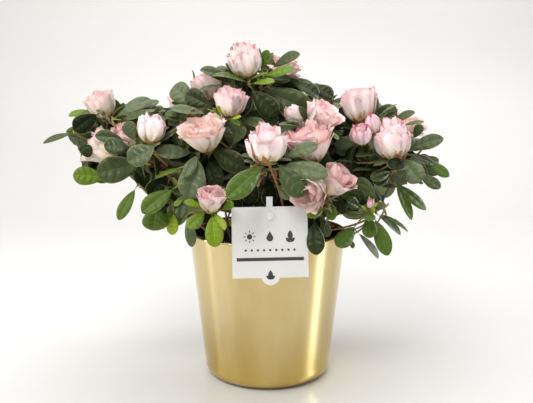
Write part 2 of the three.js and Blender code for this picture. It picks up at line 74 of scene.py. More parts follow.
# Each mass: centre, radius, height where its bough leaves the trunk, count of leafy shoots, and its blooms.
# A bloom is (bearing, elevation, diameter, kind, tint). Bearing 0 is the front. Tint 0 is pale and 1 pink.
MASSES = {
    "top": ((-12, 8, 248), 46, 165, 6, [(-17, 42, 32, "cup", 0.5), (63, 40, 30, "open", 0.4)]),
    "upper_left": ((-56, -28, 228), 43, 156, 4, [
        (90, 76, 30, "open", 0.6), (54, 25, 30, "cup", 0.6), (8, -16, 40, "open", 0.15),
    ]),
    "upper_right": ((42, -28, 224), 43, 157, 4, [
        (6, 11, 34, "cup", 0.5), (-19, -33, 40, "open", 0.5), (-38, 12, 14, "bud", 0.6),
    ]),
    "right_top": ((88, -6, 220), 38, 153, 4, [
        (-33, 38, 38, "cup", 0.72), (-14, -3, 18, "bud", 1.5), (9, 14, 14, "bud", 1.45),
    ]),
    "far_left": ((-140, 4, 207), 48, 151, 6, [
        (-5, 59, 30, "cup", 0.4), (-3, -5, 38, "open", 0.2), (34, 10, 26, "open", 0.4),
    ]),
    "mid_left": ((-97, -47, 199), 41, 145, 4, [(19, 48, 26, "bud", 0.7)]),
    "front": ((-4, -76, 196), 40, 148, 4, [(9, 35, 34, "cup", 0.7)]),
    "right": ((116, -12, 192), 44, 146, 6, [(-30, 35, 34, "cup", 0.75), (95, 80, 30, "open", 0.4)]),
    "inner_left": ((-64, 40, 211), 43, 154, 4, [(-150, 50, 32, "cup", 0.5), (170, 70, 34, "open", 0.3)]),
    "inner_right": ((48, 44, 214), 43, 159, 4, [(140, 50, 36, "open", 0.5)]),
    "back_right": ((92, 62, 202), 46, 140, 6, [(150, 38, 34, "cup", 0.6), (100, 10, 36, "open", 0.3)]),
    "back": ((-12, 86, 214), 48, 152, 6, [
        (170, 40, 38, "open", 0.4), (-140, 5, 32, "cup", 0.6), (130, -10, 20, "bud", 0.9),
    ]),
    "back_left": ((-108, 70, 200), 46, 144, 6, [(-150, 42, 34, "cup", 0.5), (-110, 0, 38, "open", 0.2)]),
    "low_left": ((-86, -40, 168), 34, 138, 4, []),
    "low_front_left": ((-49, -66, 164), 34, 133, 4, [(11, 33, 26, "cup", 0.6)]),
    "low_front_right": ((46, -70, 168), 35, 136, 4, [(30, 37, 34, "open", 0.4), (-30, 14, 34, "open", 0.15)]),
    "low_right": ((91, -36, 157), 37, 131, 4, [(-14, 14, 12, "bud", 2.0)]),
    "low_back_right": ((70, 78, 162), 40, 133, 4, [(150, 20, 30, "cup", 0.6)]),
    "low_back": ((-14, 102, 166), 40, 139, 4, [(175, 8, 34, "open", 0.3)]),
    "low_back_left": ((-92, 72, 162), 40, 134, 4, [(-120, -5, 28, "cup", 0.5)]),
}

CENTRES, RADII, FORK_HEIGHTS, LEAFY_SHOOTS, BLOOMS = zip(*MASSES.values())
CENTRES = np.array(CENTRES, float)

# A bloom's height by its diameter.
BLOOM_HEIGHTS = {
    "open": 0.72, "loose": 0.84, "wide": 0.86, "cup": 0.94, "crown": 1, "globe": 1.02, "bud": 1.4,
}

# The photograph's view, which some blooms and leaves are placed by: focal length and middle in its pixels,
# and the lens and sensor that give the same view. A pixel spans about so much near the crown's front.
VIEW = {"eye": (-0.8, -650, 260), "pitch": 0.16, "focal": 740.3, "middle": (266.5, 201.5)}
LENS, SENSOR = 50, 36
MM_PER_PIXEL = 0.83

# Blooms placed as the view shows them, in each mass's order; None leaves one to the rule.
# (foot across, foot down, foot depth), (tip across, tip down, tip depth), diameter, kind.
SEEN_BLOOMS = {
    "top": [((248.5, 77.5, -8), (241.5, 46, -12), 27.5, "crown"), ((281, 80, 10), (289, 58, 8), 26, "open")],
    "upper_left": [
        ((213, 101, -4), (205, 79, -2), 25, "cup"),
        ((230, 117, -38), (231.5, 88, -40), 24, "cup"),
        ((209, 153, -44), (202, 123, -56), 33, "wide"),
    ],
    "upper_right": [
        ((313, 131, -44), (327, 106, -50), 27, "loose"),
        ((316, 163, -56), (307, 134, -64), 36, "wide"),
        ((299.5, 124.5, -40), (291.5, 111, -46), 13.5, "bud"),
    ],
    "right_top": [
        ((361.5, 123, -22), (356.5, 90, -20), 29, "cup"),
        ((361.5, 144, -48), (360, 119, -56), 16.5, "globe"),
        ((376, 133, -42), (371, 117, -46), 12, "bud"),
    ],
    "far_left": [
        ((107.5, 117.5, -8), (94, 88.5, -14), 24, "cup"),
        ((116, 155, -26), (95, 145, -27), 30, "loose"),
        ((126, 146, -30), (122, 130, -40), 20, "cup"),
    ],
    "mid_left": [((150, 143, -60), (153.5, 114, -58), 21.5, "globe")],
    "front": [((269, 163, -90), (265, 128, -90), 27.5, "crown")],
    "right": [((394, 159.5, -46), (391, 126, -44), 30, "crown"), ((407, 138, 4), (413, 119, 0), 25, "open")],
    "inner_left": [((187, 118, 60), (183, 91, 62), 26, "cup"), None],
    "inner_right": [((333, 130, 60), (334, 108, 66), 32, "open")],
    "back_right": [((366, 130, 90), (362, 106, 96), 30, "cup"), None],
    "back_left": [((150, 146, 100), (147, 118, 106), 30, "cup"), None],
    "low_front_left": [((210.5, 212, -84), (212, 187, -87), 22, "loose")],
    "low_front_right": [
        ((327, 193, -72), (342, 173, -78), 27, "loose"),
        ((321, 183, -80), (305, 197, -97), 28, "loose"),
    ],
    "low_right": [((369.5, 208, -60), (371.5, 200, -62), 6, "bud")],
}

# Masses whose low blooms are painted darker, as the shade that the crown casts on them.
CROWN_SHADED_MASSES = ("low_front_left", "low_front_right")

# Blooms placed deeper than this stand behind the crown's front, so leaves may grow across them. In front of
# the other blooms and the placed leaves nothing grows, nor closer than this behind their middles.
HIDDEN_DEPTH = 40
JUST_BEHIND = 4

# Masses whose flowering shoots carry only the placed leaves.
BARE_SHOOTS = ("front", "low_front_left", "low_front_right", "low_right")

# Leaves placed as the view shows them: root across, down; tip across, down; depth of root and of tip; how far
# the blade faces the viewer, 0 to 1; its width by its length; and its tone, 0 old and dark, also painted shade
# in the crown's hollows, to 7 young.
SEEN_LEAVES = {
    "top": [
        (234, 85, 200, 70, -10, -18, 0.45, 0.5, 2), (249, 83, 212, 76.5, -16, -24, 0.25, 0.5, 4),
        (236, 75, 214, 70, 0, -6, 0.35, 0.45, 2), (234, 86, 196, 92, -16, -22, 0.1, 0.42, 3),
        (271, 69, 300, 54, 0, -8, 0.5, 0.46, 2), (263, 77, 294, 68, -14, -22, 0.5, 0.42, 5),
        (260, 72, 273.5, 53, -8, -12, 0.4, 0.42, 4), (261, 70, 259, 48, 4, 2, 0.4, 0.4, 3),
        (251, 84, 274.5, 81.5, -17, -26, 0.4, 0.42, 6), (250, 80, 268, 73.5, -17, -20, 0.3, 0.36, 6),
        (251, 88, 276.5, 117, -16, -20, 1.0, 0.56, 1), (259, 88, 312, 112, -6, -16, 0.95, 0.46, 2),
        (268, 79, 290, 79.5, -8, -10, 0.5, 0.5, 1), (290, 82, 319, 95.5, -2, -8, 0.5, 0.5, 1),
        (311, 84, 333, 97, 4, 0, 0.7, 0.6, 1), (270, 84, 304, 89, 2, -4, 0.75, 0.5, 0),
        (262, 70, 268, 50, -6, -10, 0.7, 0.5, 4), (286, 80, 315, 88, 4, 2, 0.55, 0.45, 2),
        (252, 88, 240, 116, -4, -12, 0.8, 0.5, 0), (194, 85, 192, 70, -6, -6, 0.3, 0.35, 4),
    ],
    "upper_left": [
        (239, 119, 264.5, 127, -24, -40, 0.45, 0.42, 2), (246, 112, 278, 121, -10, -20, 0.7, 0.5, 0),
        (222, 117, 217.5, 106, -44, -50, 0.6, 0.4, 7), (231, 119, 241, 116.5, -46, -52, 0.5, 0.4, 7),
        (226, 121, 207, 109, -46, -50, 0.2, 0.4, 6), (226, 116, 240, 126, -40, -48, 0.3, 0.35, 5),
        (232, 146, 245.5, 127, -34, -36, 0.65, 0.5, 3), (209, 148, 244, 168.5, -44, -50, 1.0, 0.52, 1),
        (208, 158, 219, 187, -36, -44, 0.85, 0.5, 1), (195, 153, 156, 152, -46, -56, 0.55, 0.46, 3),
        (199, 155, 188, 199, -54, -70, 0.95, 0.58, 3), (198, 154, 184.5, 177, -60, -72, 0.7, 0.4, 3),
        (195.5, 108, 173.5, 86, -32, -18, 0.95, 0.6, 3), (213, 108, 186, 94, -36, -28, 0.9, 0.62, 1),
        (208, 114.5, 171, 109, -40, -46, 0.4, 0.42, 3), (188, 113, 165, 114, -40, -46, 0.4, 0.45, 2),
        (186, 116, 168, 123, -36, -42, 0.7, 0.6, 2),
    ],
    "mid_left": [
        (161, 142, 176, 129.5, -46, -40, 0.35, 0.42, 3), (157, 145, 128, 162, -68, -84, 0.85, 0.6, 3),
        (181, 168, 155, 178.5, -56, -62, 0.2, 0.4, 5), (180, 121, 166, 116, -44, -48, 0.5, 0.5, 2),
    ],
    "far_left": [
        (115, 118, 150.5, 99, -34, -26, 0.5, 0.38, 3), (132, 112, 159, 101, -26, -18, 0.5, 0.38, 3),
        (112, 117, 125, 105.5, -30, -32, 0.1, 0.4, 5), (121, 120, 147, 112, -36, -42, 0.4, 0.42, 2),
        (99.5, 113, 74, 130, -34, -42, 0.9, 0.64, 0), (90, 110, 68.5, 116, -10, -14, 0.4, 0.5, 5),
        (73, 133, 43, 143.5, -14, -20, 0.4, 0.36, 2), (75, 134, 90, 157, -38, -42, 0.7, 0.48, 1),
        (113, 125, 96, 110, -24, -26, 0.3, 0.4, 3), (108, 178, 73, 175, -34, -42, 0.9, 0.55, 5),
        (144, 163.5, 97, 173.5, -56, -72, 0.9, 0.56, 2), (131, 147, 104, 146, -62, -78, 0.75, 0.58, 2),
        (126, 141, 95, 136, -54, -66, 0.6, 0.48, 2), (136, 142, 126, 122, -58, -62, 0.85, 0.66, 3),
    ],
    "low_left": [
        (175, 188, 142, 213, -62, -78, 0.7, 0.46, 4), (159, 202, 152.5, 230.5, -56, -66, 0.8, 0.8, 4),
        (172, 210, 158, 229, -52, -60, 0.8, 0.5, 5), (174, 212, 172, 235, -50, -56, 0.9, 0.5, 7),
        (167, 176, 149, 196, -54, -62, 0.9, 0.66, 0), (172, 203, 154, 213, -54, -60, 0.4, 0.45, 0),
        (136.5, 187, 118.5, 220, -54, -64, 0.6, 0.36, 4), (150, 190, 135, 170, -20, -30, 0.8, 0.56, 1),
    ],
    "low_front_left": [
        (206, 212, 188, 228, -80, -92, 0.75, 0.56, 5), (212, 213, 215.5, 247, -84, -96, 0.95, 0.52, 6),
        (213, 212, 225, 230, -82, -90, 0.5, 0.42, 7), (221, 210, 233.5, 203, -80, -84, 0.7, 0.6, 5),
        (204, 208, 184, 202, -76, -80, 0.5, 0.45, 6), (187, 216, 192, 247, -72, -80, 0.35, 0.36, 3),
        (184, 200, 180, 218, -66, -74, 0.8, 0.6, 2), (184, 199, 174, 206, -68, -72, 0.5, 0.5, 5),
        (238, 188, 233, 214, -22, -30, 0.9, 0.6, 0), (247, 186, 245, 212, -14, -20, 0.95, 0.6, 0),
        (226, 197, 242, 207, -32, -34, 0.8, 0.5, 0), (256, 184, 254, 208, 18, 12, 0.95, 0.62, 0),
        (252, 176, 250, 204, -40, -46, 0.95, 0.6, 0), (259, 180, 259, 208, -38, -46, 0.95, 0.56, 0),
    ],
    "front": [
        (268, 166, 289, 160, -60, -54, 0.8, 0.45, 0), (264.5, 165, 227, 198, -90, -112, 0.95, 0.42, 4),
        (276.5, 163, 304, 196, -92, -100, 1.0, 0.54, 2), (280, 165, 328, 175, -86, -100, 0.75, 0.4, 3),
        (283, 158, 318, 145.5, -84, -88, 0.6, 0.42, 3), (258, 160, 242, 155, -76, -80, 0.4, 0.45, 2),
        (257, 164, 244, 161, -78, -84, 0.4, 0.4, 3), (275, 160, 292, 160.5, -78, -84, 0.3, 0.36, 3),
        (277, 184, 292, 198, -72, -82, 0.8, 0.6, 3),
    ],
    "upper_right": [
        (311.5, 128, 286, 120, -48, -58, 0.2, 0.4, 3), (312, 132, 279, 125, -48, -60, 0.15, 0.4, 3),
        (308, 123, 298.5, 107, -42, -50, 0.6, 0.42, 2), (329, 131, 338.5, 139.5, -62, -66, 0.4, 0.5, 5),
    ],
    "right_top": [
        (377, 117, 397, 104, -26, -28, 0.15, 0.36, 3), (382, 120, 396, 112, -22, -26, 0.5, 0.4, 2),
        (390, 125, 415, 112, -28, -34, 0.5, 0.4, 2), (402, 126, 424.5, 122, -20, -24, 0.3, 0.42, 4),
        (413, 139, 422, 125, -24, -28, 0.75, 0.6, 2),
    ],
    "right": [
        (406, 151, 443.5, 138.5, -30, -38, 0.6, 0.44, 2), (406, 154, 434, 164, -34, -42, 0.4, 0.42, 1),
        (424, 160, 449, 176.5, -26, -34, 0.7, 0.4, 4), (402, 158, 420.5, 182, -44, -60, 0.95, 0.64, 3),
        (418, 174, 440.5, 188, -38, -46, 0.7, 0.48, 2), (399, 157, 394, 170, -48, -68, 0.95, 0.66, 0),
        (392, 160, 374, 166, -46, -56, 0.15, 0.4, 3), (385, 156, 356, 156.5, -40, -50, 0.1, 0.4, 2),
        (357, 163, 336, 161, -40, -48, 0.1, 0.4, 2), (377, 170, 352, 171, -36, -46, 0.15, 0.4, 2),
        (392, 171, 371, 179.5, -42, -54, 0.6, 0.46, 2), (391, 175, 377, 186, -40, -50, 0.5, 0.4, 2),
        (395.5, 174, 407, 184.5, -36, -44, 0.3, 0.35, 3), (393, 182, 426, 210, -28, -40, 0.5, 0.32, 4),
        (395, 184, 411.5, 220, -30, -40, 0.5, 0.28, 4), (377, 187, 397, 187, -32, -36, 0.3, 0.36, 2),
    ],
    "low_right": [
        (369, 212, 368.5, 221, -60, -76, 0.9, 0.66, 4), (369, 211, 369.5, 196, -58, -60, 0.6, 0.22, 7),
        (370, 212, 378, 203, -59, -64, 0.6, 0.3, 7), (368, 212, 361, 206, -59, -64, 0.6, 0.34, 7),
        (370, 213, 375, 209, -61, -68, 0.8, 0.5, 7), (369, 214, 370, 238, -54, -66, 0.85, 0.58, 4),
        (374, 217, 388, 255.5, -50, -62, 0.85, 0.4, 4), (376, 214, 400.5, 235, -42, -50, 0.25, 0.34, 3),
        (377, 213.5, 408, 232, -38, -46, 0.1, 0.34, 4), (356, 225, 337.5, 247, -54, -68, 0.85, 0.54, 4),
        (357, 232, 378.5, 258.5, -46, -54, 0.3, 0.32, 3), (351, 239, 353, 248.5, -50, -54, 0.8, 0.5, 5),
        (364, 214, 347, 214.5, -54, -60, 0.5, 0.45, 4), (362, 209, 347, 200, -48, -54, 0.8, 0.6, 2),
        (360, 202, 343, 196.5, -40, -46, 0.5, 0.45, 4), (364, 206, 358, 191, -42, -48, 0.8, 0.5, 1),
        (372, 209, 384, 204.5, -52, -60, 0.6, 0.46, 3),
    ],
    "low_front_right": [
        (325, 207.5, 307.5, 217, -78, -88, 0.65, 0.5, 6), (329, 199, 332.5, 220.5, -66, -74, 0.85, 0.5, 4),
        (338, 198, 344, 214, -56, -64, 0.85, 0.55, 1), (314, 219, 316.5, 255, -72, -84, 0.95, 0.5, 1),
        (321, 217, 328, 237, -66, -72, 0.75, 0.5, 2), (290, 188, 285, 213, -22, -30, 0.9, 0.6, 0),
        (281, 184, 277, 210, -14, -20, 0.95, 0.6, 0), (270, 182, 268, 207, 22, 16, 0.95, 0.62, 0),
        (270, 178, 269, 206, -40, -46, 0.95, 0.56, 0), (280, 180, 279, 204, -36, -42, 0.95, 0.5, 0),
    ],
}

# Bare twigs that the view shows: start, middle and end, each across, down and depth; radius and slot.
TWIG_OLD, TWIG_BROWN, TWIG_YOUNG = range(3)
SEEN_TWIGS = {
    "front": [((269, 165, -89), (279, 186, -74), (284, 210, -52), 0.95, TWIG_BROWN)],
    "low_right": [((368, 219, -48), (345, 230, -46), (322, 230, -38), 0.9, TWIG_BROWN)],
    "mid_left": [
        ((153, 149, -60), (158, 158, -56), (168, 166, -48), 0.8, TWIG_BROWN),
        ((164, 172, -58), (172, 178, -54), (178, 186, -46), 0.8, TWIG_BROWN),
    ],
    "low_front_left": [
        ((225, 205, -46), (226, 222, -44), (231, 242, -40), 0.9, TWIG_OLD),
        ((232, 208, -44), (226, 220, -42), (222, 240, -38), 0.8, TWIG_OLD),
        ((196, 222, -66), (203, 228, -60), (214, 236, -48), 0.9, TWIG_OLD),
    ],
}

# Dark hollows and clear gaps in the view, which those leaves keep out of: two ends, half width, and the depth
# that they stay behind.
SEEN_GAPS = [
    ((242, 197), (290, 200), 12, -20),
    ((270, 172), (272, 188), 12, -40),
    ((226, 212), (228, 238), 7, 300),
    ((232, 160), (250, 178), 9, -20),
    ((262, 128), (244, 146), 9, -20),
    ((302, 112), (302, 130), 6, -20),
    ((344, 128), (346, 162), 9, -20),
    ((330, 222), (352, 221), 4, 300),
    ((238, 214), (304, 214), 6, -60),
]

# The crown's outline in the same view, which leaves grown by the rule keep inside.
CROWN_OUTLINE = [
    (47, 143), (72, 128), (68, 116), (86, 106), (100, 90), (113, 100), (128, 104), (150, 100), (160, 104),
    (166, 112), (168, 98), (171, 82), (188, 78), (192, 70), (212, 72), (226, 50), (242, 44), (260, 50),
    (274, 54), (299, 56), (298, 68), (318, 84), (333, 95), (342, 92), (360, 88), (378, 94), (384, 112),
    (396, 105), (400, 114), (414, 113), (424, 122), (422, 134), (442, 139), (430, 152), (446, 172),
    (434, 176), (438, 186), (418, 182), (400, 184), (396, 194), (380, 200), (384, 208), (372, 220),
    (358, 222), (345, 214), (330, 220), (326, 236), (318, 238), (300, 232), (232, 232), (226, 222),
    (214, 232), (196, 230), (184, 218), (176, 222), (174, 232), (152, 228), (144, 214), (148, 196),
    (136, 184), (118, 180), (90, 184), (74, 176), (84, 162), (76, 146),
]


# Materials


def colour(red, green, blue):
    """A colour as it looks in daylight, 0 to 255, as the linear value that a shader takes."""
    share = [c / 255 for c in (red, green, blue)]
    return tuple(c / 12.92 if c <= 0.04045 else ((c + 0.055) / 1.055) ** 2.4 for c in share) + (1.0,)


def material(name, base, roughness, **sockets):
    """A plain material; each keyword names one more socket of its shader, with underscores for spaces."""
    made = bpy.data.materials.new(name)
    made.use_nodes = True
    shader = made.node_tree.nodes["Principled BSDF"]
    shader.inputs["Base Color"].default_value = base
    shader.inputs["Roughness"].default_value = roughness
    for socket, value in sockets.items():
        shader.inputs[socket.replace("_", " ")].default_value = value
    return made


class Nodes:
    """A material's nodes, added and linked one at a time."""

    def __init__(self, made):
        self.tree = made.node_tree
        self.shader = self.tree.nodes["Principled BSDF"]

    def add(self, kind, links=None, **settings):
        """A node of a kind, with links into its sockets, and settings for its properties or sockets."""
        node = self.tree.nodes.new(kind)
        for key, value in settings.items():
            if hasattr(node, key):
                setattr(node, key, value)
            else:
                node.inputs[key.replace("_", " ")].default_value = value
        for socket, source in (links or {}).items():
            self.tree.links.new(source, node.inputs[socket])
        return node

    def ramp(self, source, *stops):
        """A colour by a value from 0 to 1, through stops of position and colour."""
        node = self.add("ShaderNodeValToRGB", {"Fac": source})
        node.color_ramp.elements[0].position, node.color_ramp.elements[0].color = stops[0]
        node.color_ramp.elements[1].position, node.color_ramp.elements[1].color = stops[-1]
        for position, value in stops[1:-1]:
            node.color_ramp.elements.new(position).color = value
        return node.outputs["Color"]

    def spread(self, source, low, high):
        """A value from 0 to 1 spread between two limits."""
        node = self.add("ShaderNodeMapRange", {"Value": source}, To_Min=low, To_Max=high)
        return node.outputs["Result"]

    def place(self, scale=(1, 1, 1)):
        """The mesh's own coordinates, in metres, with each axis scaled."""
        where = self.add("ShaderNodeTexCoord").outputs["Object"]
        node = self.add("ShaderNodeMapping", {"Vector": where})
        node.inputs["Scale"].default_value = scale
        return node.outputs["Vector"]

    def noise(self, where, scale, detail=4.0, roughness=0.55):
        """Soft noise at a scale by metre."""
        settings = {"Scale": scale, "Detail": detail, "Roughness": roughness}
        return self.add("ShaderNodeTexNoise", {"Vector": where}, **settings).outputs["Fac"]

    def bump(self, height, strength, distance):
        """Bumps the surface by a value from 0 to 1."""
        node = self.add("ShaderNodeBump", {"Height": height}, Strength=strength, Distance=distance)
        self.tree.links.new(node.outputs["Normal"], self.shader.inputs["Normal"])

    def drive(self, socket, source):
        """Links a value into one of the shader's sockets."""
        self.tree.links.new(source, self.shader.inputs[socket])


def bark_material():
    """Grey-brown bark with fibres that run up the limb, kept dark partly as painted shade of the crown's
    inside.
    """
    made = material("bark", colour(104, 78, 58), 0.85)
    nodes = Nodes(made)
    where = nodes.place((1, 1, 0.25))
    fibres = nodes.noise(where, 420, 6, 0.65)
    patches = nodes.noise(nodes.place(), 60, 3)
    mixed = nodes.add("ShaderNodeMath", {0: fibres, 1: patches}, operation="MULTIPLY").outputs[0]
    # The bark's browns are kept dark, partly as painted shade of the crown's inside.
    tones = (0.12, colour(40, 29, 22)), (0.28, colour(80, 58, 42)), (0.42, colour(122, 98, 76))
    nodes.drive("Base Color", nodes.ramp(mixed, *tones))
    nodes.drive("Roughness", nodes.spread(fibres, 0.65, 0.95))
    nodes.bump(fibres, 0.6, 0.0006)
    return made


def gold_material():
    """Gold lustre over glaze, a little cloudy, in upright streaks that are partly painted reflection bands."""
    # The lustre smears what it mirrors up and down, so lights show as upright bands.
    base = colour(197, 178, 127)
    made = material("gold_lustre", base, 0.2, Metallic=1.0, Anisotropic=0.35, Anisotropic_Rotation=0.25)
    nodes = Nodes(made)
    # The glaze's cloud runs in upright streaks, partly its own and partly painted reflection bands.
    cloud_and_reflection_streaks = nodes.noise(nodes.place((1, 1, 0.35)), 30, 3)
    tone = nodes.ramp(cloud_and_reflection_streaks, (0.3, colour(197, 175, 117)), (0.7, colour(211, 193, 146)))
    # The colour deepens and warms towards the foot: painted shade, for the shadowed table that the foot
    # mirrors.
    by_height = nodes.place((1, 1, 1 / (POT["height"] * MM)))
    height = nodes.add("ShaderNodeSeparateXYZ", {0: by_height}).outputs["Z"]
    foot_shade_stops = (0.0, colour(255, 243, 196)), (0.15, colour(255, 248, 222)), (0.42, colour(255, 255, 255))
    both = {0: tone, 1: nodes.ramp(height, *foot_shade_stops)}
    with_foot_shade = nodes.add("ShaderNodeVectorMath", both, operation="MULTIPLY").outputs[0]
    nodes.drive("Base Color", with_foot_shade)
    nodes.drive("Roughness", nodes.spread(nodes.noise(nodes.place(), 160, 3), 0.02, 0.045))
    # The glaze runs down the wall in shallow waves, so what it mirrors wavers.
    waves = nodes.noise(nodes.place((1, 1, 0.12)), 70, 1.5, 0.4)
    nodes.bump(waves, 0.25, 0.0006)
    return made


def soil_material():
    """Dark peat with paler grains."""
    made = material("soil", colour(40, 28, 20), 0.95)
    nodes = Nodes(made)
    grain = nodes.noise(nodes.place(), 520, 6, 0.7)
    tones = (0.35, colour(22, 14, 10)), (0.6, colour(58, 40, 28)), (0.75, colour(92, 66, 46))
    nodes.drive("Base Color", nodes.ramp(grain, *tones))
    nodes.bump(grain, 0.8, 0.0008)
    return made


def card_material():
    """Uncoated white card."""
    made = material("card", colour(196, 195, 191), 0.55)
    nodes = Nodes(made)
    fibre = nodes.noise(nodes.place((1, 1, 3)), 900, 4)
    tones = (0.3, colour(192, 191, 187)), (0.7, colour(200, 199, 195))
    nodes.drive("Base Color", nodes.ramp(fibre, *tones))
    nodes.drive("Roughness", nodes.spread(fibre, 0.48, 0.62))
    nodes.bump(fibre, 0.15, 0.0001)
    return made


# Leaf greens from the darkest old blade to the youngest, each with its sheen, and their undersides. The
# darkest is also painted shade, for leaves in the crown's shaded hollows, and the grey of the fourth is
# painted sheen.
LEAF_TOPS = [
    ((17, 25, 6), 0.1),
    ((32, 42, 17), 0.28),
    ((54, 67, 37), 0.32),
    ((76, 88, 60), 0.38),
    ((68, 91, 30), 0.25),
    ((86, 110, 30), 0.25),
    ((98, 124, 24), 0.22),
    ((138, 158, 44), 0.3),
]
LEAF_UNDERS = [(98, 112, 66), (132, 146, 74)]
LEAF_GLOSS = (1, 1, 0.66, 1)
# How bright the side veins are by their blade, darker as painted shade in their creases, and each tone's rib.
VEIN_CREASE_SHADE = 0.89
RIB_SHADES = (1.5, 1.45, 1.3, 1.12, 1.3, 1.25, 1.2, 1.12)


def shaded(rgb, share):
    """A colour of which a share is left, one for all channels or one for each."""
    return colour(*np.multiply(rgb, share))


def leaf_slots():
    """Blades, undersides, side veins painted with crease shade, ribs and the pale margin, in that order."""
    tops, veins, ribs = [], [], []
    for k, (rgb, sheen) in enumerate(LEAF_TOPS):
        gloss = {"Specular_IOR_Level": sheen, "Specular_Tint": LEAF_GLOSS}
        tops.append(material(f"leaf_top_{k}", colour(*rgb), 0.4, **gloss))
        veins.append(material(f"leaf_vein_crease_shade_{k}", shaded(rgb, VEIN_CREASE_SHADE), 0.5, Specular_IOR_Level=sheen))
        ribs.append(material(f"leaf_rib_{k}", shaded(rgb, RIB_SHADES[k]), 0.5, Specular_IOR_Level=0.2))
    unders = [material(f"leaf_under_{k}", colour(*rgb), 0.6) for k, rgb in enumerate(LEAF_UNDERS)]
    return tops + unders + veins + ribs + [material("leaf_margin", colour(104, 100, 56), 0.5)]


LEAF_SLOTS = leaf_slots()
UNDER_SLOT = len(LEAF_TOPS)
VEIN_SLOT = UNDER_SLOT + len(LEAF_UNDERS)
RIB_SLOT = VEIN_SLOT + len(LEAF_TOPS)
MARGIN_SLOT = RIB_SLOT + len(LEAF_TOPS)

# Petal colours from the greenish foot to the pink rim, and last the peach of painted shade in the folds.
PETAL_COLOURS = [
    (202, 186, 116), (231, 207, 158), (244, 220, 188), (250, 222, 209), (252, 216, 212),
    (250, 204, 206), (247, 189, 196), (240, 171, 181), (208, 108, 130), (228, 176, 138),
]
# What is left of each channel in a low bloom painted with the crown's shade, and how far each travels inside a
# petal.
CROWN_SHADE_LEFT = (0.88, 0.85, 0.845)
PETAL_GLOW = (1, 0.87, 0.84)


def petal_slots():
    """Plain petals, petals painted with the crown's shade, the papery bud scale and the sepal, in that order.
    """
    slots = []
    for state, left in (("unshaded", (1, 1, 1)), ("in_crown_shade", CROWN_SHADE_LEFT)):
        for k, rgb in enumerate(PETAL_COLOURS):
            glow = {"Subsurface_Weight": 0.65, "Subsurface_Scale": 0.01, "Subsurface_Radius": PETAL_GLOW}
            slots.append(material(f"petal_{state}_{k}", shaded(rgb, left), 0.5, **glow))
    slots.append(material("bud_scale", colour(152, 102, 46), 0.6))
    slots.append(material("sepal", colour(122, 146, 54), 0.5))
    return slots


PETAL_SLOTS = petal_slots()
FOLD_SHADE_SLOT = len(PETAL_COLOURS) - 1
CROWN_SHADE_SLOT = len(PETAL_COLOURS)
SCALE_SLOT = 2 * len(PETAL_COLOURS)
SEPAL_SLOT = SCALE_SLOT + 1

TWIG_SLOTS = [
    material("twig_old", colour(98, 70, 50), 0.8),
    material("twig_brown", colour(140, 96, 56), 0.7),
    material("twig_young", colour(128, 116, 58), 0.6),
]


# Meshes


class Batch:
    """Grids of points, in millimetres, that become one joined mesh."""

    def __init__(self):
        self.points = []
        self.faces = []
        self.slots = []
        self.count = 0

    def grid(self, points, slots=0, around=False):
        """Adds rows by columns of points, with one slot or one for each face; around closes each row."""
        rows, columns = points.shape[:2]
        index = self.count + np.arange(rows * columns).reshape(rows, columns)
        if around:
            index = np.concatenate([index, index[:, :1]], axis=1)
        quads = np.stack([index[:-1, :-1], index[:-1, 1:], index[1:, 1:], index[1:, :-1]], axis=-1)
        self.points.append(points.reshape(-1, 3))
        self.faces.append(quads.reshape(-1, 4))
        self.slots.append(np.broadcast_to(slots, quads.shape[:2]).reshape(-1))
        self.count += rows * columns

    def object(self, name, slots):
        """The grids as one object in the scene, in metres."""
        mesh = bpy.data.meshes.new(name)
        points = np.concatenate(self.points) * MM
        faces = np.concatenate(self.faces)
        mesh.vertices.add(len(points))
        mesh.vertices.foreach_set("co", points.ravel())
        mesh.loops.add(faces.size)
        mesh.loops.foreach_set("vertex_index", faces.ravel())
        mesh.polygons.add(len(faces))
        mesh.polygons.foreach_set("loop_start", np.arange(0, faces.size, 4))
        mesh.polygons.foreach_set("material_index", np.concatenate(self.slots))
        mesh.polygons.foreach_set("use_smooth", np.full(len(faces), True))
        for slot in slots:
            mesh.materials.append(slot)
        mesh.update(calc_edges=True)
        mesh.validate()
        return linked(name, mesh)


def linked(name, data):
    """A new object in the scene that holds a mesh, curve, light or camera."""
    made = bpy.data.objects.new(name, data)
    bpy.context.scene.collection.objects.link(made)
    return made


def on_frame(piece, slot, *nodes):
    """The piece rides on the part's one body and stands for some CAD nodes, which it hides. The slot is not
    used.
    """
    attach(piece, "root")
    if nodes:
        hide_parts(*nodes)


def unit(vector):
    """The vector at length one."""
    return vector / max(1e-9, np.linalg.norm(vector))


def turned(vector, axis, angle):
    """A vector turned about a unit axis."""
    cos, sin = math.cos(angle), math.sin(angle)
    return vector * cos + np.cross(axis, vector) * sin + axis * np.dot(axis, vector) * (1 - cos)


def any_side(axis):
    """A unit vector square to the axis."""
    return unit(np.cross(axis, UP if abs(axis[2]) < 0.9 else np.array([1.0, 0.0, 0.0])))


def random_from(seed):
    """The same run of numbers from 0 to 1 each time for the same seed, as in the part's source."""
    state = ((seed + 1) * 2654435761) & 0xFFFFFFFF

    def draw(low=0.0, high=1.0):
        nonlocal state
        state = (state * 1664525 + 1013904223) & 0xFFFFFFFF
        return low + (high - low) * state / 4294967296

    return draw


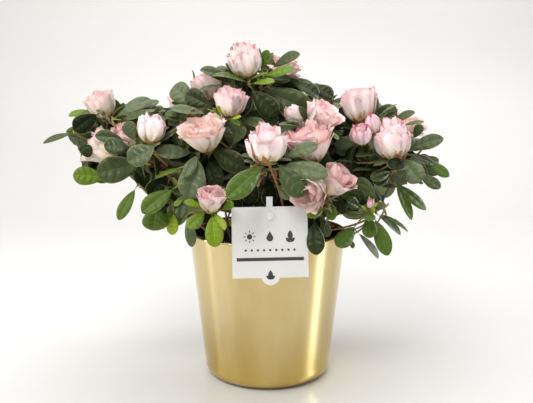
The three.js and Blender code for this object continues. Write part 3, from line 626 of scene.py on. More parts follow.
class Curve:
    """A curve with one control point, read by its length."""

    def __init__(self, start, control, end):
        t = np.linspace(0, 1, 101)[:, None]
        self.points = (1 - t) ** 2 * start + 2 * (1 - t) * t * control + t**2 * end
        steps = np.linalg.norm(np.diff(self.points, axis=0), axis=1)
        self.reach = np.concatenate([[0], np.cumsum(steps)])
        self.length = self.reach[-1]

    def at(self, share):
        """The point at a share of the curve's length, or one for each of several shares."""
        wanted = np.clip(share, 0, 1) * self.length
        return np.stack([np.interp(wanted, self.reach, self.points[:, k]) for k in range(3)], axis=-1)

    def heading(self, share):
        """The way that the curve runs at a share of its length."""
        share = min(max(share, 0.01), 0.99)
        return unit(self.at(share + 0.01) - self.at(share - 0.01))


def taper(root, tip):
    """A radius that goes evenly from root to tip, by share of the length."""
    return lambda share: root + (tip - root) * share


def tube(batch, curve, radius, sides, rings, slots=0, relief=None):
    """A tube along a curve. radius gives its size by share of the length, and relief its bumps by place."""
    shares = np.linspace(0, 1, rings)
    centres = curve.at(shares)
    side = any_side(curve.heading(0))
    around = np.linspace(0, 2 * math.pi, sides, endpoint=False)
    grid = np.empty((rings + 2, sides, 3))
    for k, share in enumerate(shares):
        heading = curve.heading(share)
        side = unit(side - heading * np.dot(side, heading))
        other = np.cross(heading, side)
        spokes = np.outer(np.cos(around), side) + np.outer(np.sin(around), other)
        reach = radius(share) * np.ones(sides)
        if relief:
            smooth = centres[k] + spokes * radius(share)
            reach = reach + np.array([relief(point, angle) for point, angle in zip(smooth, around)])
        grid[k + 1] = centres[k] + spokes * reach[:, None]
    # A shrunken ring closes each end.
    for end, next_to_it in ((0, 1), (-1, -2)):
        grid[end] = centres[end] + (grid[next_to_it] - centres[end]) * 0.02
    batch.grid(grid, slots, around=True)


# The photograph's view


def from_view(across, down, depth):
    """The point at a depth that the view shows at a place in its frame."""
    eye, pitch, focal, middle = VIEW["eye"], VIEW["pitch"], VIEW["focal"], VIEW["middle"]
    cos, sin = math.cos(pitch), math.sin(pitch)
    right, rise = (across - middle[0]) / focal, (middle[1] - down) / focal
    away = depth - eye[1]
    high = away * (rise * cos - sin) / (cos + rise * sin)
    return np.array([eye[0] + right * (away * cos - high * sin), depth, eye[2] + high])


def in_view(points):
    """Where the view shows points, and how far each is from its eye."""
    eye, pitch = VIEW["eye"], VIEW["pitch"]
    cos, sin = math.cos(pitch), math.sin(pitch)
    right, away, high = points[:, 0] - eye[0], points[:, 1] - eye[1], points[:, 2] - eye[2]
    depth = away * cos - high * sin
    rise = away * sin + high * cos
    across = VIEW["middle"][0] + VIEW["focal"] * right / depth
    down = VIEW["middle"][1] - VIEW["focal"] * rise / depth
    return np.stack([across, down], axis=1), depth


def inside_outline(places, outline):
    """Which places lie inside a closed outline."""
    ends = np.array(outline, float)
    starts = np.roll(ends, 1, axis=0)
    x, y = places[:, 0, None], places[:, 1, None]
    crosses = (starts[None, :, 1] > y) != (ends[None, :, 1] > y)
    rise = ends[:, 1] - starts[:, 1]
    rise = np.where(rise == 0, 1e-9, rise)
    at = starts[:, 0] + (y - starts[None, :, 1]) * (ends[:, 0] - starts[:, 0]) / rise
    return np.sum(crosses & (x < at), axis=1) % 2 == 1


# The plant's own rule, as the solids follow it


def direction_at(bearing, elevation):
    """A unit vector by its bearing from the front and its elevation, in degrees."""
    b, e = math.radians(bearing), math.radians(elevation)
    return np.array([math.sin(b) * math.cos(e), -math.cos(b) * math.cos(e), math.sin(e)])


# The trunk's line is bowed a little between its foot and its fork.
FOOT = np.array([*TRUNK["foot"], SOIL_LEVEL + GAP])
FORK = np.array([*TRUNK["tip"], TRUNK["top"]])
TRUNK_LINE = Curve(FOOT, (FOOT + FORK) / 2 + np.array([1.5, -1, 0]), FORK)


def bough_curve(index):
    """A bough's line, from the trunk to short of its mass's middle; it rises first and then reaches out."""
    start = TRUNK_LINE.at(min(0.98, (FORK_HEIGHTS[index] - SOIL_LEVEL) / (TRUNK["top"] - SOIL_LEVEL)))
    end = CENTRES[index] - BOUGH["stops_at"] * RADII[index] * unit(CENTRES[index] - start)
    reach = end - start
    lift = reach[2] * 0.5 + 0.05 * np.linalg.norm(reach)
    return Curve(start, start + np.array([reach[0] * 0.42, reach[1] * 0.42, lift]), end)


def stem_curve(index, bough):
    """The line of a mass's own stem, which goes on from the bough past a small gap."""
    heading = bough.heading(1)
    foot = bough.at(1) + heading * GAP
    tip = CENTRES[index] + heading * STEM["reach"] * RADII[index]
    return Curve(foot, foot + heading * 0.5 * np.linalg.norm(tip - foot), tip)


def spiral(count, cap, phase, axis):
    """Directions spread evenly over a cap round an axis, from its middle out."""
    turn = Vector((0, 0, 1)).rotation_difference(Vector(axis))
    edge = math.cos(math.radians(cap))
    for k in range(count):
        rise = 1 - (1 - edge) * (k + 0.5) / count
        flat = math.sqrt(max(0.0, 1 - rise * rise))
        around = phase + k * GOLDEN_ANGLE
        yield np.array(turn @ Vector((flat * math.cos(around), flat * math.sin(around), rise)))


def main_shoots(index):
    """The shoots that the solids have: blooms first, then leafy ones spread over the mass's outer side."""
    centre, reach = CENTRES[index], RADII[index] - SHOOT["inset"]
    plan = []
    for bearing, elevation, *bloom in BLOOMS[index]:
        direction = direction_at(bearing, elevation)
        plan.append((direction, centre + direction * reach, bloom))
    apart = math.cos(math.radians(SHOOT["clear_of_bloom"]))
    phase = random_from(SEEDS["shoots"] + index)() * 2 * math.pi
    for direction in spiral(LEAFY_SHOOTS[index], SHOOT["cap"], phase, unit(centre - FORK)):
        if all(bloom is None or np.dot(other, direction) <= apart for other, _, bloom in plan):
            plan.append((direction, centre + direction * reach, None))
    return plan


# Space that leaves keep to


# How far leaves keep from other things. The slack is how far a leaf or a twig may reach into the space of a
# neighbour, and neighbours are the masses whose middles are this near.
ROOM = {"bloom": 9, "pot": 1.5, "beside_card": 2, "below_card": 10, "card": 2.5, "card_top": 12}
SLACK = {"leaf": 7, "twig": 6}
NEIGHBOURS_WITHIN = 140


def bloom_spheres():
    """The middle and radius of every bloom, with the mass that it belongs to."""
    spheres = []
    for index, blooms in enumerate(BLOOMS):
        for bearing, elevation, diameter, kind, _ in blooms:
            reach = RADII[index] - SHOOT["inset"] + diameter * BLOOM_HEIGHTS[kind] / 2
            spheres.append((index, CENTRES[index] + direction_at(bearing, elevation) * reach, diameter / 2))
    return spheres


BLOOM_SPHERES = bloom_spheres()


def depths_in(points, index):
    """How deep points lie in a mass's spheres, in millimetres."""
    depth = RADII[index] - np.linalg.norm(points - CENTRES[index], axis=1)
    for owner, middle, radius in BLOOM_SPHERES:
        if owner == index:
            depth = np.maximum(depth, radius + ROOM["bloom"] - np.linalg.norm(points - middle, axis=1))
    return depth


def keeps_to_mass(points, index, slack):
    """Whether points lie deeper in their own mass than in its neighbours, give or take the slack."""
    own = depths_in(points, index)
    for k, centre in enumerate(CENTRES):
        near = np.linalg.norm(centre - CENTRES[index]) < NEIGHBOURS_WITHIN
        if k != index and near and np.any(own + slack <= depths_in(points, k)):
            return False
    return True


def clear_of_blooms(points, share=0.82):
    """Whether points lie outside a share of every bloom's sphere."""
    for _, middle, radius in BLOOM_SPHERES:
        if np.any(np.linalg.norm(points - middle, axis=1) <= radius * share):
            return False
    return True


def pot_radius(z):
    """The pot's outer radius at a height."""
    return POT["foot"] + (POT["rim"] - POT["foot"]) * z / POT["height"]


# The card's way up, the way it faces, and the middle of its lower edge.
CARD_UP = np.array([0, math.sin(LABEL["lean"]), math.cos(LABEL["lean"])])
CARD_OUT = np.array([0, -math.cos(LABEL["lean"]), math.sin(LABEL["lean"])])
CARD_FOOT = np.array([LABEL["centre_x"], *LABEL["foot"]])


def clear_of_hardware(points):
    """Outside the pot, and neither through the label nor in front of its lower part."""
    radial = np.hypot(points[:, 0], points[:, 1])
    low = points[:, 2] < POT["height"] + ROOM["pot"]
    if np.any(low & (radial < pot_radius(points[:, 2]) + ROOM["pot"])):
        return False
    high, ahead = (points - CARD_FOOT) @ CARD_UP, (points - CARD_FOOT) @ CARD_OUT
    over = np.abs(points[:, 0] - LABEL["centre_x"]) < LABEL["width"] / 2 + ROOM["beside_card"]
    over &= (high > -ROOM["below_card"]) & (high < LABEL["height"] + ROOM["beside_card"])
    covers = (ahead > 0) & (high < LABEL["height"] - ROOM["card_top"])
    return not np.any(over & ((np.abs(ahead) < ROOM["card"]) | covers))


# Leaves


# A blade's form, by share of its length or half width: the stalk, how far its rim droops, how deep it is
# quilted, where it starts to twist, and how far its side veins run forward.
LEAF = {"stalk": 0.08, "droop": 0.16, "quilt": 0.12, "twist_at": 0.4, "forward": 0.95}
# Places across a blade, from edge to edge, with a narrow margin and rib.
LEAF_COLUMNS = np.array([-1, -0.95, -0.64, -0.32, -0.035, 0.035, 0.32, 0.64, 0.95, 1])
RIB_COLUMN = 4
UNDER_COLUMNS = np.array([1, 0.5, 0, -0.5, -1])
# How far the underside lies below, and the tone above which it is a young leaf's.
UNDER_LIFT = 0.35
YOUNG_TONE = 4.5
# The shares of its length at which a leaf that doesn't fit is tried.
SHRINKS = (1, 0.85, 0.7)
# What a placed leaf or bloom covers in the view, by share of its width, and a leaf's least, in pixels.
COVER = {"leaf": 0.4, "least": 2.5, "bloom": 0.55}


def leaf_rows(veins, steps):
    """Rows of points along a leaf, closer at its ends, and how far each lies from a side vein to the next."""
    t = np.append((np.arange(veins)[:, None] + steps).ravel() / veins, 1)
    from_vein = np.append(np.tile(steps, veins), 0)
    return 0.3 * t + 0.35 * (1 - np.cos(math.pi * t)), from_vein


LEAF_ROWS = leaf_rows(5, (0, 0.33, 0.67))
FINE_LEAF_ROWS = leaf_rows(7, (0, 0.16, 0.44, 0.72))


def leaf_width(u):
    """The blade's width by share of its length, widest past the middle, after a short stalk."""
    past_stalk = np.clip((u - LEAF["stalk"]) / (1 - LEAF["stalk"]), 0, 1)
    return np.maximum(0.06, np.sin(math.pi * past_stalk**1.05) ** 0.6)


def blade(root, tip, face, shape, rows, columns, lift=0.0):
    """A leaf's points: folded along its rib, quilted between its side veins, and arched to its tip."""
    length = np.linalg.norm(tip - root)
    along = (tip - root) / length
    up = unit(face - along * np.dot(face, along))
    across = np.cross(along, up)
    wide, fold, arch, twist = shape
    shares, from_vein = rows
    u = shares[:, None]
    v = columns[None, :]
    side = np.abs(v)
    half = length * wide / 2 * leaf_width(u)
    flat = v * half
    quilt = LEAF["quilt"] * (1 - np.abs(1 - 2 * from_vein[:, None]) ** 3)
    high = fold * np.abs(flat) - LEAF["droop"] * half * side**4 + quilt * half * np.sin(math.pi * side)
    high = high - lift * (1 - side**2)
    turn = twist * (u - LEAF["twist_at"])
    over = flat * np.cos(turn) - high * np.sin(turn)
    raised = flat * np.sin(turn) + high * np.cos(turn) + arch * length * u * (1 - u)
    # The side veins run forward, so each row of points does too.
    forward = length * (u + LEAF["forward"] * wide * side * u * (1 - u))
    return root + forward[..., None] * along + over[..., None] * across + raised[..., None] * up


def leaf_probe(root, tip, face, wide):
    """A few points of a leaf, to test where it would lie."""
    along = tip - root
    up = unit(face - along * np.dot(face, along) / np.dot(along, along))
    across = np.cross(along, up) * wide * 0.5
    middle = root + along * 0.6
    return np.array([root + along * 0.3, middle + across, middle - across, middle, root + along * 0.85, tip])


def add_leaf(batch, root, tip, face, wide, tone, draw, fine=False):
    """A leaf's upper side with veins, rib and margin, over its plainer underside."""
    shape = (wide, draw(0.08, 0.34), draw(0.1, 0.34), draw(-0.3, 0.3))
    rows = FINE_LEAF_ROWS if fine else LEAF_ROWS
    shares, from_vein = rows
    top = int(np.clip(round(tone), 0, len(LEAF_TOPS) - 1))
    slots = np.full((len(shares) - 1, len(LEAF_COLUMNS) - 1), top)
    if fine:
        # The side veins of placed leaves are painted darker, as the shade in their creases.
        slots[from_vein[:-1] == 0] = VEIN_SLOT + top
    slots[:, [0, -1]] = MARGIN_SLOT
    slots[:, RIB_COLUMN] = RIB_SLOT + top
    slots[0, :] = RIB_SLOT + top
    batch.grid(blade(root, tip, face, shape, rows, LEAF_COLUMNS), slots)
    under = UNDER_SLOT + (1 if tone > YOUNG_TONE else 0)
    columns = UNDER_COLUMNS[:: 1 if fine else 2]
    batch.grid(blade(root, tip, face, shape, rows, columns, UNDER_LIFT), under)


def seen_leaf(spec):
    """A placed leaf's root, tip and face, from its places in the view."""
    across, down, tip_across, tip_down, depth, tip_depth, facing, wide, tone = spec
    root = from_view(across, down, depth)
    tip = from_view(tip_across, tip_down, tip_depth)
    along = unit(tip - root)
    to_eye = unit(np.array(VIEW["eye"]) - root)
    up = unit(UP - along * np.dot(UP, along) + 0.02 * any_side(along))
    toward = unit(to_eye - along * np.dot(to_eye, along))
    return root, tip, unit(up * (1 - facing) + toward * facing), wide, tone


class SeenShapes:
    """What the placed leaves and blooms cover in the view, so that no leaf grown by the rule hides them."""

    def __init__(self):
        bands = []
        for spec in sum(SEEN_LEAVES.values(), []):
            root, tip, _, wide, _ = seen_leaf(spec)
            half = COVER["leaf"] * wide * np.linalg.norm(tip - root) / MM_PER_PIXEL
            shown = max(COVER["least"], half * (0.35 + 0.65 * spec[6]))
            bands.append((spec[0:2], spec[2:4], shown, (root + tip) / 2))
        for foot, tip, diameter, _ in filter(None, sum(SEEN_BLOOMS.values(), [])):
            if foot[2] <= HIDDEN_DEPTH:
                middle = (from_view(*foot) + from_view(*tip)) / 2
                bands.append((foot[:2], tip[:2], diameter * COVER["bloom"] / MM_PER_PIXEL, middle))
        for start, end, wide, depth in SEEN_GAPS:
            bands.append((start, end, wide, from_view(*start, depth)))
        starts, ends, widths, middles = zip(*bands)
        self.starts, self.ends = np.array(starts, float), np.array(ends, float)
        self.widths, self.foot_shade_stops = np.array(widths), in_view(np.array(middles))[1]

    def hidden_by(self, points):
        """Whether any point would cover one of them, or come just behind it."""
        places, depth = in_view(points)
        along = self.ends - self.starts
        offset = places[:, None, :] - self.starts[None]
        share = np.clip(np.sum(offset * along, axis=2) / np.sum(along * along, axis=1), 0, 1)
        apart = np.linalg.norm(offset - share[..., None] * along, axis=2)
        return np.any((apart < self.widths) & (depth[:, None] < self.foot_shade_stops + JUST_BEHIND))


SEEN = SeenShapes()


def fits(points, index):
    """Whether a leaf grown by the rule may lie here."""
    apart = clear_of_blooms(points) and clear_of_hardware(points)
    if not (apart and keeps_to_mass(points, index, SLACK["leaf"])):
        return False
    places, _ = in_view(points)
    return bool(np.all(inside_outline(places, CROWN_OUTLINE))) and not SEEN.hidden_by(points)


# Leaves at a twig's end: count, lengths, slant from the twig in degrees, how far back the first one stands,
# the step to the next, and tone.
WHORLS = {
    "under_bloom": (6, (32, 42), (58, 86), 2.5, 1.5, 2.4),
    "young_by_bloom": (2, (9, 15), (35, 60), 1.0, 0.6, 6),
    "leafy": (7, (32, 42), (44, 80), 2.0, 1.6, 2.4),
    "young_leafy": (2, (12, 20), (15, 40), 0.2, 0.5, 5.5),
    "bough": (3, (26, 38), (50, 85), 0.5, 0.5, 1),
    "side": (6, (28, 40), (42, 84), 1.0, 1.7, 2.0),
}


def add_whorl(batch, index, twig, axis, whorl, draw):
    """Leaves round the end of a twig, by the golden angle, each shortened until it fits."""
    count, lengths, spread, first_back, step, tone = WHORLS[whorl]
    side = any_side(axis)
    phase = draw(0, 2 * math.pi)
    for k in range(count):
        out = turned(side, axis, phase + k * GOLDEN_ANGLE)
        slant = math.radians(draw(*spread))
        heading = unit(axis * math.cos(slant) + out * math.sin(slant) - UP * draw(0, 0.25))
        face = unit(axis + UP * 0.6 + np.array([draw(-0.3, 0.3), draw(-0.3, 0.3), draw(-0.1, 0.3)]))
        length, wide = draw(*lengths), draw(0.46, 0.58)
        own_tone = tone + draw(-0.9, 0.9)
        root = twig.at(max(0.15, 1 - (first_back + k * step) / twig.length))
        for shrink in SHRINKS:
            tip = root + heading * length * shrink
            if fits(leaf_probe(root, tip, face, wide), index):
                add_leaf(batch, root, tip, face, wide, own_tone, draw)
                break


# Blooms


PETAL_ROWS = np.array([0, 0.08, 0.18, 0.3, 0.42, 0.54, 0.65, 0.75, 0.84, 0.91, 0.96, 1])
PETAL_COLUMNS = np.linspace(-1, 1, 15)

# How far a petal stands from the bloom's axis, and how high, by share of its own length.
PROFILE_STEPS = (0, 0.2, 0.45, 0.7, 0.88, 1)
PROFILES = {
    "cup": ((0.08, 0.5, 0.84, 0.94, 1.0, 1.06), (0, 0.1, 0.38, 0.7, 0.9, 1.0)),
    "tulip": ((0.08, 0.55, 0.9, 1.0, 0.98, 0.92), (0, 0.1, 0.38, 0.7, 0.9, 1.0)),
    "globe": ((0.08, 0.6, 0.96, 1.0, 0.88, 0.7), (0, 0.1, 0.38, 0.7, 0.9, 1.0)),
    "funnel": ((0.07, 0.34, 0.66, 0.9, 1.03, 1.15), (0, 0.18, 0.46, 0.76, 0.92, 0.98)),
    "open": ((0.06, 0.3, 0.6, 0.88, 1.05, 1.18), (0, 0.2, 0.5, 0.78, 0.9, 0.92)),
    "flat": ((0.06, 0.34, 0.7, 1.0, 1.15, 1.22), (0, 0.2, 0.42, 0.54, 0.52, 0.44)),
    "bud": ((0.1, 0.72, 1.0, 0.86, 0.52, 0.2), (0, 0.12, 0.42, 0.76, 0.94, 1.04)),
}
# Rings from the outside in: count of petals, reach, height, profile, overlap and ruffle.
BLOOM_RINGS = {
    "cup": [
        (5, 1.0, 0.93, "cup", 1.4, 0.045),
        (5, 0.86, 1.0, "cup", 1.35, 0.055),
        (4, 0.7, 1.05, "cup", 1.3, 0.05),
        (4, 0.5, 1.06, "tulip", 1.2, 0.055),
        (3, 0.3, 1.03, "tulip", 1.1, 0.05),
    ],
    "crown": [
        (5, 1.0, 0.74, "tulip", 1.4, 0.05),
        (5, 0.87, 0.88, "tulip", 1.35, 0.06),
        (4, 0.7, 1.02, "tulip", 1.3, 0.065),
        (4, 0.5, 1.1, "tulip", 1.2, 0.06),
        (3, 0.28, 1.06, "tulip", 1.1, 0.05),
    ],
    "globe": [
        (6, 1.0, 0.9, "globe", 1.35, 0.03),
        (5, 0.88, 0.98, "globe", 1.35, 0.035),
        (5, 0.74, 1.04, "globe", 1.3, 0.04),
        (4, 0.56, 1.06, "tulip", 1.2, 0.05),
        (3, 0.3, 1.02, "tulip", 1.1, 0.05),
    ],
    "wide": [
        (5, 1.02, 0.92, "funnel", 1.45, 0.04),
        (5, 0.88, 1.0, "funnel", 1.4, 0.05),
        (5, 0.7, 1.05, "funnel", 1.35, 0.055),
        (4, 0.54, 1.08, "cup", 1.3, 0.055),
        (3, 0.36, 1.08, "tulip", 1.3, 0.05),
        (3, 0.2, 1.02, "tulip", 1.1, 0.05),
    ],
    "loose": [
        (5, 1.02, 0.95, "funnel", 1.5, 0.035),
        (4, 0.8, 1.02, "cup", 1.45, 0.045),
        (4, 0.56, 1.05, "tulip", 1.35, 0.045),
        (3, 0.3, 1.0, "tulip", 1.2, 0.04),
    ],
    "open": [
        (5, 1.02, 0.86, "flat", 1.35, 0.045),
        (5, 0.98, 1.0, "open", 1.4, 0.055),
        (5, 0.8, 1.08, "open", 1.3, 0.06),
        (5, 0.6, 1.12, "funnel", 1.25, 0.06),
        (4, 0.42, 1.12, "cup", 1.2, 0.055),
        (3, 0.24, 1.08, "tulip", 1.2, 0.05),
    ],
    "bud": [(5, 1.0, 1.0, "bud", 1.35, 0.015), (3, 0.8, 0.96, "bud", 1.3, 0.02)],
}


# How much a petal's rim is rounded, and how deeply it creases, bellies and frills. Every second one stands
# some tenths of a millimetre further out.
PETAL = {"rounding": 0.22, "crease": 0.045, "belly": 0.05, "frill": 0.6, "apart": 0.25}
# By share of a petal's length: how far round it wraps, and its colour from the greenish claw to the rim.
PETAL_WRAP = (0, 0.15, 0.35, 0.6, 0.85, 1), (0.3, 0.5, 0.72, 0.95, 1, 0.92)
PETAL_SHADES = (0, 0.12, 0.3, 0.5, 0.7, 0.88, 1), (0.0, 0.6, 1.5, 2.6, 3.5, 4.0, 4.2)
# How far a bloom's tint moves its petals' colours, and the tint that leaves them alone.
TINT_REACH, PLAIN_TINT = 2.6, 0.4
# Where along a petal the painted fold shade shows, and how deep a crease or how near an edge it lies.
FOLD_SHADE_ZONE = {"from": 0.1, "to": 0.48, "crease": 0.87, "edge": 0.86}
# How far each petal leans out of the bloom's axis, how far each ring is turned on from the last, and how many
# scales and sepals hug the foot.
PETAL_LEAN, RING_TURN, SCALES = 0.11, 0.63, 9


def ripples(v, draw, beats):
    """A soft wave across a petal, from -1 to 1, that never repeats."""
    return sum(np.sin(b * math.pi * v + draw(0, 2 * math.pi)) * a for b, a in beats)


def add_petal(batch, base, axis, around, radius, height, profile, half_angle, ruffle, tint, in_crown_shade, draw):
    """One petal: it narrows to a claw, wraps round the bloom's axis, and ruffles at its rounded rim."""
    out = turned(any_side(axis), axis, around)
    over = np.cross(axis, out)
    s, v = PETAL_ROWS[:, None], PETAL_COLUMNS[None, :]
    reached = s * (1 - PETAL["rounding"] * np.abs(v) ** 2.6 * s)
    away = radius * np.interp(reached, PROFILE_STEPS, PROFILES[profile][0])
    high = height * np.interp(reached, PROFILE_STEPS, PROFILES[profile][1])
    angle = half_angle * v * np.interp(s, *PETAL_WRAP)
    size = ruffle * radius * 2
    waves = ripples(v, draw, ((1.2, 0.5), (2.3, 0.6), (3.7, 0.35)))
    frill = ripples(v, draw, ((3.7, 0.5), (5.1, 0.4)))
    # Creases run up the petal, deepest below its middle.
    crease, shift = draw(1.3, 2.3), draw(0, 2 * math.pi)
    folds = PETAL["crease"] * radius * np.cos(crease * math.pi * v + shift)
    away = away + folds * np.sin(math.pi * s**0.8)
    away = away + size * (s**2.5 * waves + PETAL["frill"] * s**7 * frill)
    away = away + draw(-0.06, 0.08) * radius * v**2 * s
    away = away + PETAL["belly"] * radius * (1 - v**2) * np.sin(math.pi * s)
    high = high + size * (0.5 * s**4 * ripples(v, draw, ((1.7, 0.6), (4.1, 0.6))) + 0.5 * s**9 * frill)
    radial = np.cos(angle)[..., None] * out + np.sin(angle)[..., None] * over
    points = base + high[..., None] * axis + away[..., None] * radial
    # The colour deepens towards the rim, with soft streaks along the petal, and each crease's valley is
    # painted deeper as shade.
    ripe = ((PETAL_ROWS[:-1] + PETAL_ROWS[1:]) / 2)[:, None]
    middles = ((PETAL_COLUMNS[:-1] + PETAL_COLUMNS[1:]) / 2)[None, :]
    edge = np.abs(middles)
    valley = -np.cos(crease * math.pi * middles + shift)
    streak = np.array([[draw(-0.3, 0.3) for _ in range(edge.shape[1])]])
    shade = np.interp(ripe, *PETAL_SHADES) + (tint - PLAIN_TINT) * TINT_REACH * (0.3 + 0.7 * ripe)
    # Crease valleys take a deeper colour: painted shade.
    shade = shade + (streak + 0.45 * valley) * ripe**0.5
    shade = shade + 0.5 * edge**3 * ripe
    slots = np.clip(np.round(shade), 0, FOLD_SHADE_SLOT - 1).astype(int)
    # Low on the petal, its crease valleys and edges take the peach of painted fold shade.
    fold_shaded = (ripe > FOLD_SHADE_ZONE["from"]) & (ripe < FOLD_SHADE_ZONE["to"])
    fold_shaded = fold_shaded & ((valley > FOLD_SHADE_ZONE["crease"]) | (edge > FOLD_SHADE_ZONE["edge"]))
    slots = np.where(fold_shaded, FOLD_SHADE_SLOT, slots)
    # Blooms in the crown's shade take the darker copies: painted shade.
    batch.grid(points, slots + (CROWN_SHADE_SLOT if in_crown_shade else 0))


def add_bloom(batch, base, axis, diameter, kind, tint, draw, in_crown_shade=False):
    """A double bloom of ruffled petals over sepals and papery bud scales."""
    turn = draw(0, 2 * math.pi)
    height = diameter * BLOOM_HEIGHTS[kind]
    for ring, (count, reach, rise, profile, overlap, ruffle) in enumerate(BLOOM_RINGS[kind]):
        for k in range(count):
            add_petal(
                batch,
                base,
                unit(axis + PETAL_LEAN * np.array([draw(-1, 1), draw(-1, 1), draw(-1, 1)])),
                turn + ring * RING_TURN + (k + draw(-0.14, 0.14)) * 2 * math.pi / count,
                diameter / 2 * reach * draw(0.95, 1.05) + PETAL["apart"] * (k % 2),
                height * rise * draw(0.88, 1.06),
                profile,
                math.pi / count * overlap,
                ruffle,
                tint + 0.02 * ring,
                in_crown_shade,
                draw,
            )
    add_scales(batch, base, axis, diameter, kind, turn, draw)


def add_scales(batch, base, axis, diameter, kind, turn, draw):
    """Brown bud scales and green sepals that hug the foot of a bloom."""
    away_steps, high_steps = PROFILES[BLOOM_RINGS[kind][0][3]]
    height = diameter * BLOOM_HEIGHTS[kind]
    u = np.linspace(0, 1, 6)[:, None]
    v = np.array([-1.0, 0, 1.0])[None, :]
    for k in range(SCALES):
        papery = k % 2 == 0
        reach = draw(0.22, 0.36) if papery else draw(0.14, 0.26)
        out = turned(any_side(axis), axis, turn + k * 2 * math.pi / SCALES + draw(-0.2, 0.2))
        wide = v * diameter * draw(0.07, 0.1) * np.sin(math.pi * (0.12 + 0.83 * u))
        away = diameter / 2 * np.interp(u * reach, PROFILE_STEPS, away_steps) + 0.8 + 0.9 * u**3
        away = away - wide**2 / (2 * away)
        high = height * np.interp(u * reach, PROFILE_STEPS, high_steps) - 0.9 + 0 * v
        points = base + high[..., None] * axis + away[..., None] * out + wide[..., None] * np.cross(axis, out)
        batch.grid(points, SCALE_SLOT if papery else SEPAL_SLOT)


# Foliage


# Tubes of wood: radius at root and tip, sides round, and rings along.
WOOD = {
    "stem": (BOUGH["tip_radius"], STEM["tip_radius"], 8, 6),
    "shoot": (1.25, 0.9, 6, 8),
    "side": (0.9, 0.65, 5, 6),
    "new": (0.95, 0.7, 5, 7),
    "stalk": (0.6, 0.6, 5, 4),
}
SHOOT_SLOTS = np.where(np.linspace(0, 1, 9)[:, None] < 0.6, TWIG_BROWN, TWIG_YOUNG)
# Side twigs: the fewest, how many more a mass of this radius has, and the cap they spread over, in degrees.
SIDE = {"fewest": 7, "more": 8, "radius": 42, "cap": 160}
# A placed leaf further than this from any twig's end gets a new twig.
LEAF_REACH = 9


def add_wood(batch, curve, kind, slots=TWIG_YOUNG):
    """A twig or stalk of a kind along a curve."""
    root, tip, sides, rings = WOOD[kind]
    tube(batch, curve, taper(root, tip), sides, rings, slots)


def twig_curve(start, tip, heading):
    """A twig leaves along its parent's heading and swings to its own tip."""
    span = np.linalg.norm(tip - start)
    return Curve(start, (start + heading * span * 0.4) * 0.6 + (start + tip) / 2 * 0.4, tip)


def grow_mass(index, name):
    """A mass's leaves, petals and twigs: first the shoots that the solids have, then finer ones."""
    draw = random_from(SEEDS["growth"] + index)
    bough = bough_curve(index)
    stem = stem_curve(index, bough)
    stem_heading = bough.heading(1)
    leaves, petals, twigs = Batch(), Batch(), Batch()
    add_wood(twigs, stem, "stem", TWIG_OLD)

    shoots = main_shoots(index)
    order = sorted(range(len(shoots)), key=lambda k: float(np.dot(shoots[k][0], stem_heading)))
    seen = SEEN_BLOOMS.get(name)
    grown = []
    for k, (direction, tip, bloom) in enumerate(shoots):
        start = stem.at((order.index(k) + 1) / (len(shoots) + 0.2))
        placed = seen[k] if bloom and seen else None
        if placed:
            foot, top = from_view(*placed[0]), from_view(*placed[1])
            tip = foot - unit(top - foot)
        twig = twig_curve(start, tip, stem_heading)
        add_wood(twigs, twig, "shoot", SHOOT_SLOTS)
        grown.append(twig)
        axis = unit(twig.heading(1) * 0.5 + direction * 0.5 + UP * 0.25)
        if placed:
            # Low blooms under the crown get painted shade.
            in_crown_shade = name in CROWN_SHADED_MASSES
            add_bloom(petals, foot, unit(top - foot), *placed[2:], bloom[2], draw, in_crown_shade)
        elif bloom:
            bloom_axis = unit(axis + UP * (0.75 if bloom[1] in ("cup", "bud") else 0.3))
            add_bloom(petals, tip - bloom_axis * 0.5, bloom_axis, *bloom, draw)
        if not bloom or name not in BARE_SHOOTS:
            for whorl in ("under_bloom", "young_by_bloom") if bloom else ("leafy", "young_leafy"):
                add_whorl(leaves, index, twig, axis, whorl, draw)

    # Leaves along the bough close the crown's middle.
    for share in (0.6, 0.75, 0.9):
        spot, heading = bough.at(share), bough.heading(share)
        add_whorl(leaves, index, Curve(spot, spot, spot + heading * 2), heading, "bough", draw)

    grow_side_twigs(index, leaves, twigs, grown, draw)
    for start, middle, end, thick, slot in SEEN_TWIGS.get(name, []):
        bare = Curve(from_view(*start), from_view(*middle), from_view(*end))
        tube(twigs, bare, taper(thick, thick), 7, 12, slot)
    grow_seen_leaves(leaves, twigs, grown, SEEN_LEAVES.get(name, []), draw)
    return leaves, petals, twigs


def grow_side_twigs(index, leaves, twigs, grown, draw):
    """Finer side twigs, which fill the mass within the same reach."""
    centre, radius = CENTRES[index], RADII[index]
    count = round(SIDE["fewest"] + (radius / SIDE["radius"]) ** 2 * SIDE["more"])
    for direction in spiral(count, SIDE["cap"], draw(0, 2 * math.pi), unit(centre - FORK)):
        tip = centre + direction * (radius - SHOOT["inset"]) * draw(0.3, 1.05)
        probe = np.array([tip])
        free = clear_of_hardware(probe) and clear_of_blooms(probe, 1.0)
        if not (free and keeps_to_mass(probe, index, SLACK["twig"])):
            continue
        parent = min(grown, key=lambda twig: np.linalg.norm(twig.at(0.5) - tip))
        twig = twig_curve(parent.at(draw(0.25, 0.6)), tip, parent.heading(0.4))
        add_wood(twigs, twig, "side")
        grown.append(twig)
        axis = unit(twig.heading(1) * 0.4 + direction * 0.6 + UP * 0.25)
        add_whorl(leaves, index, twig, axis, "side", draw)


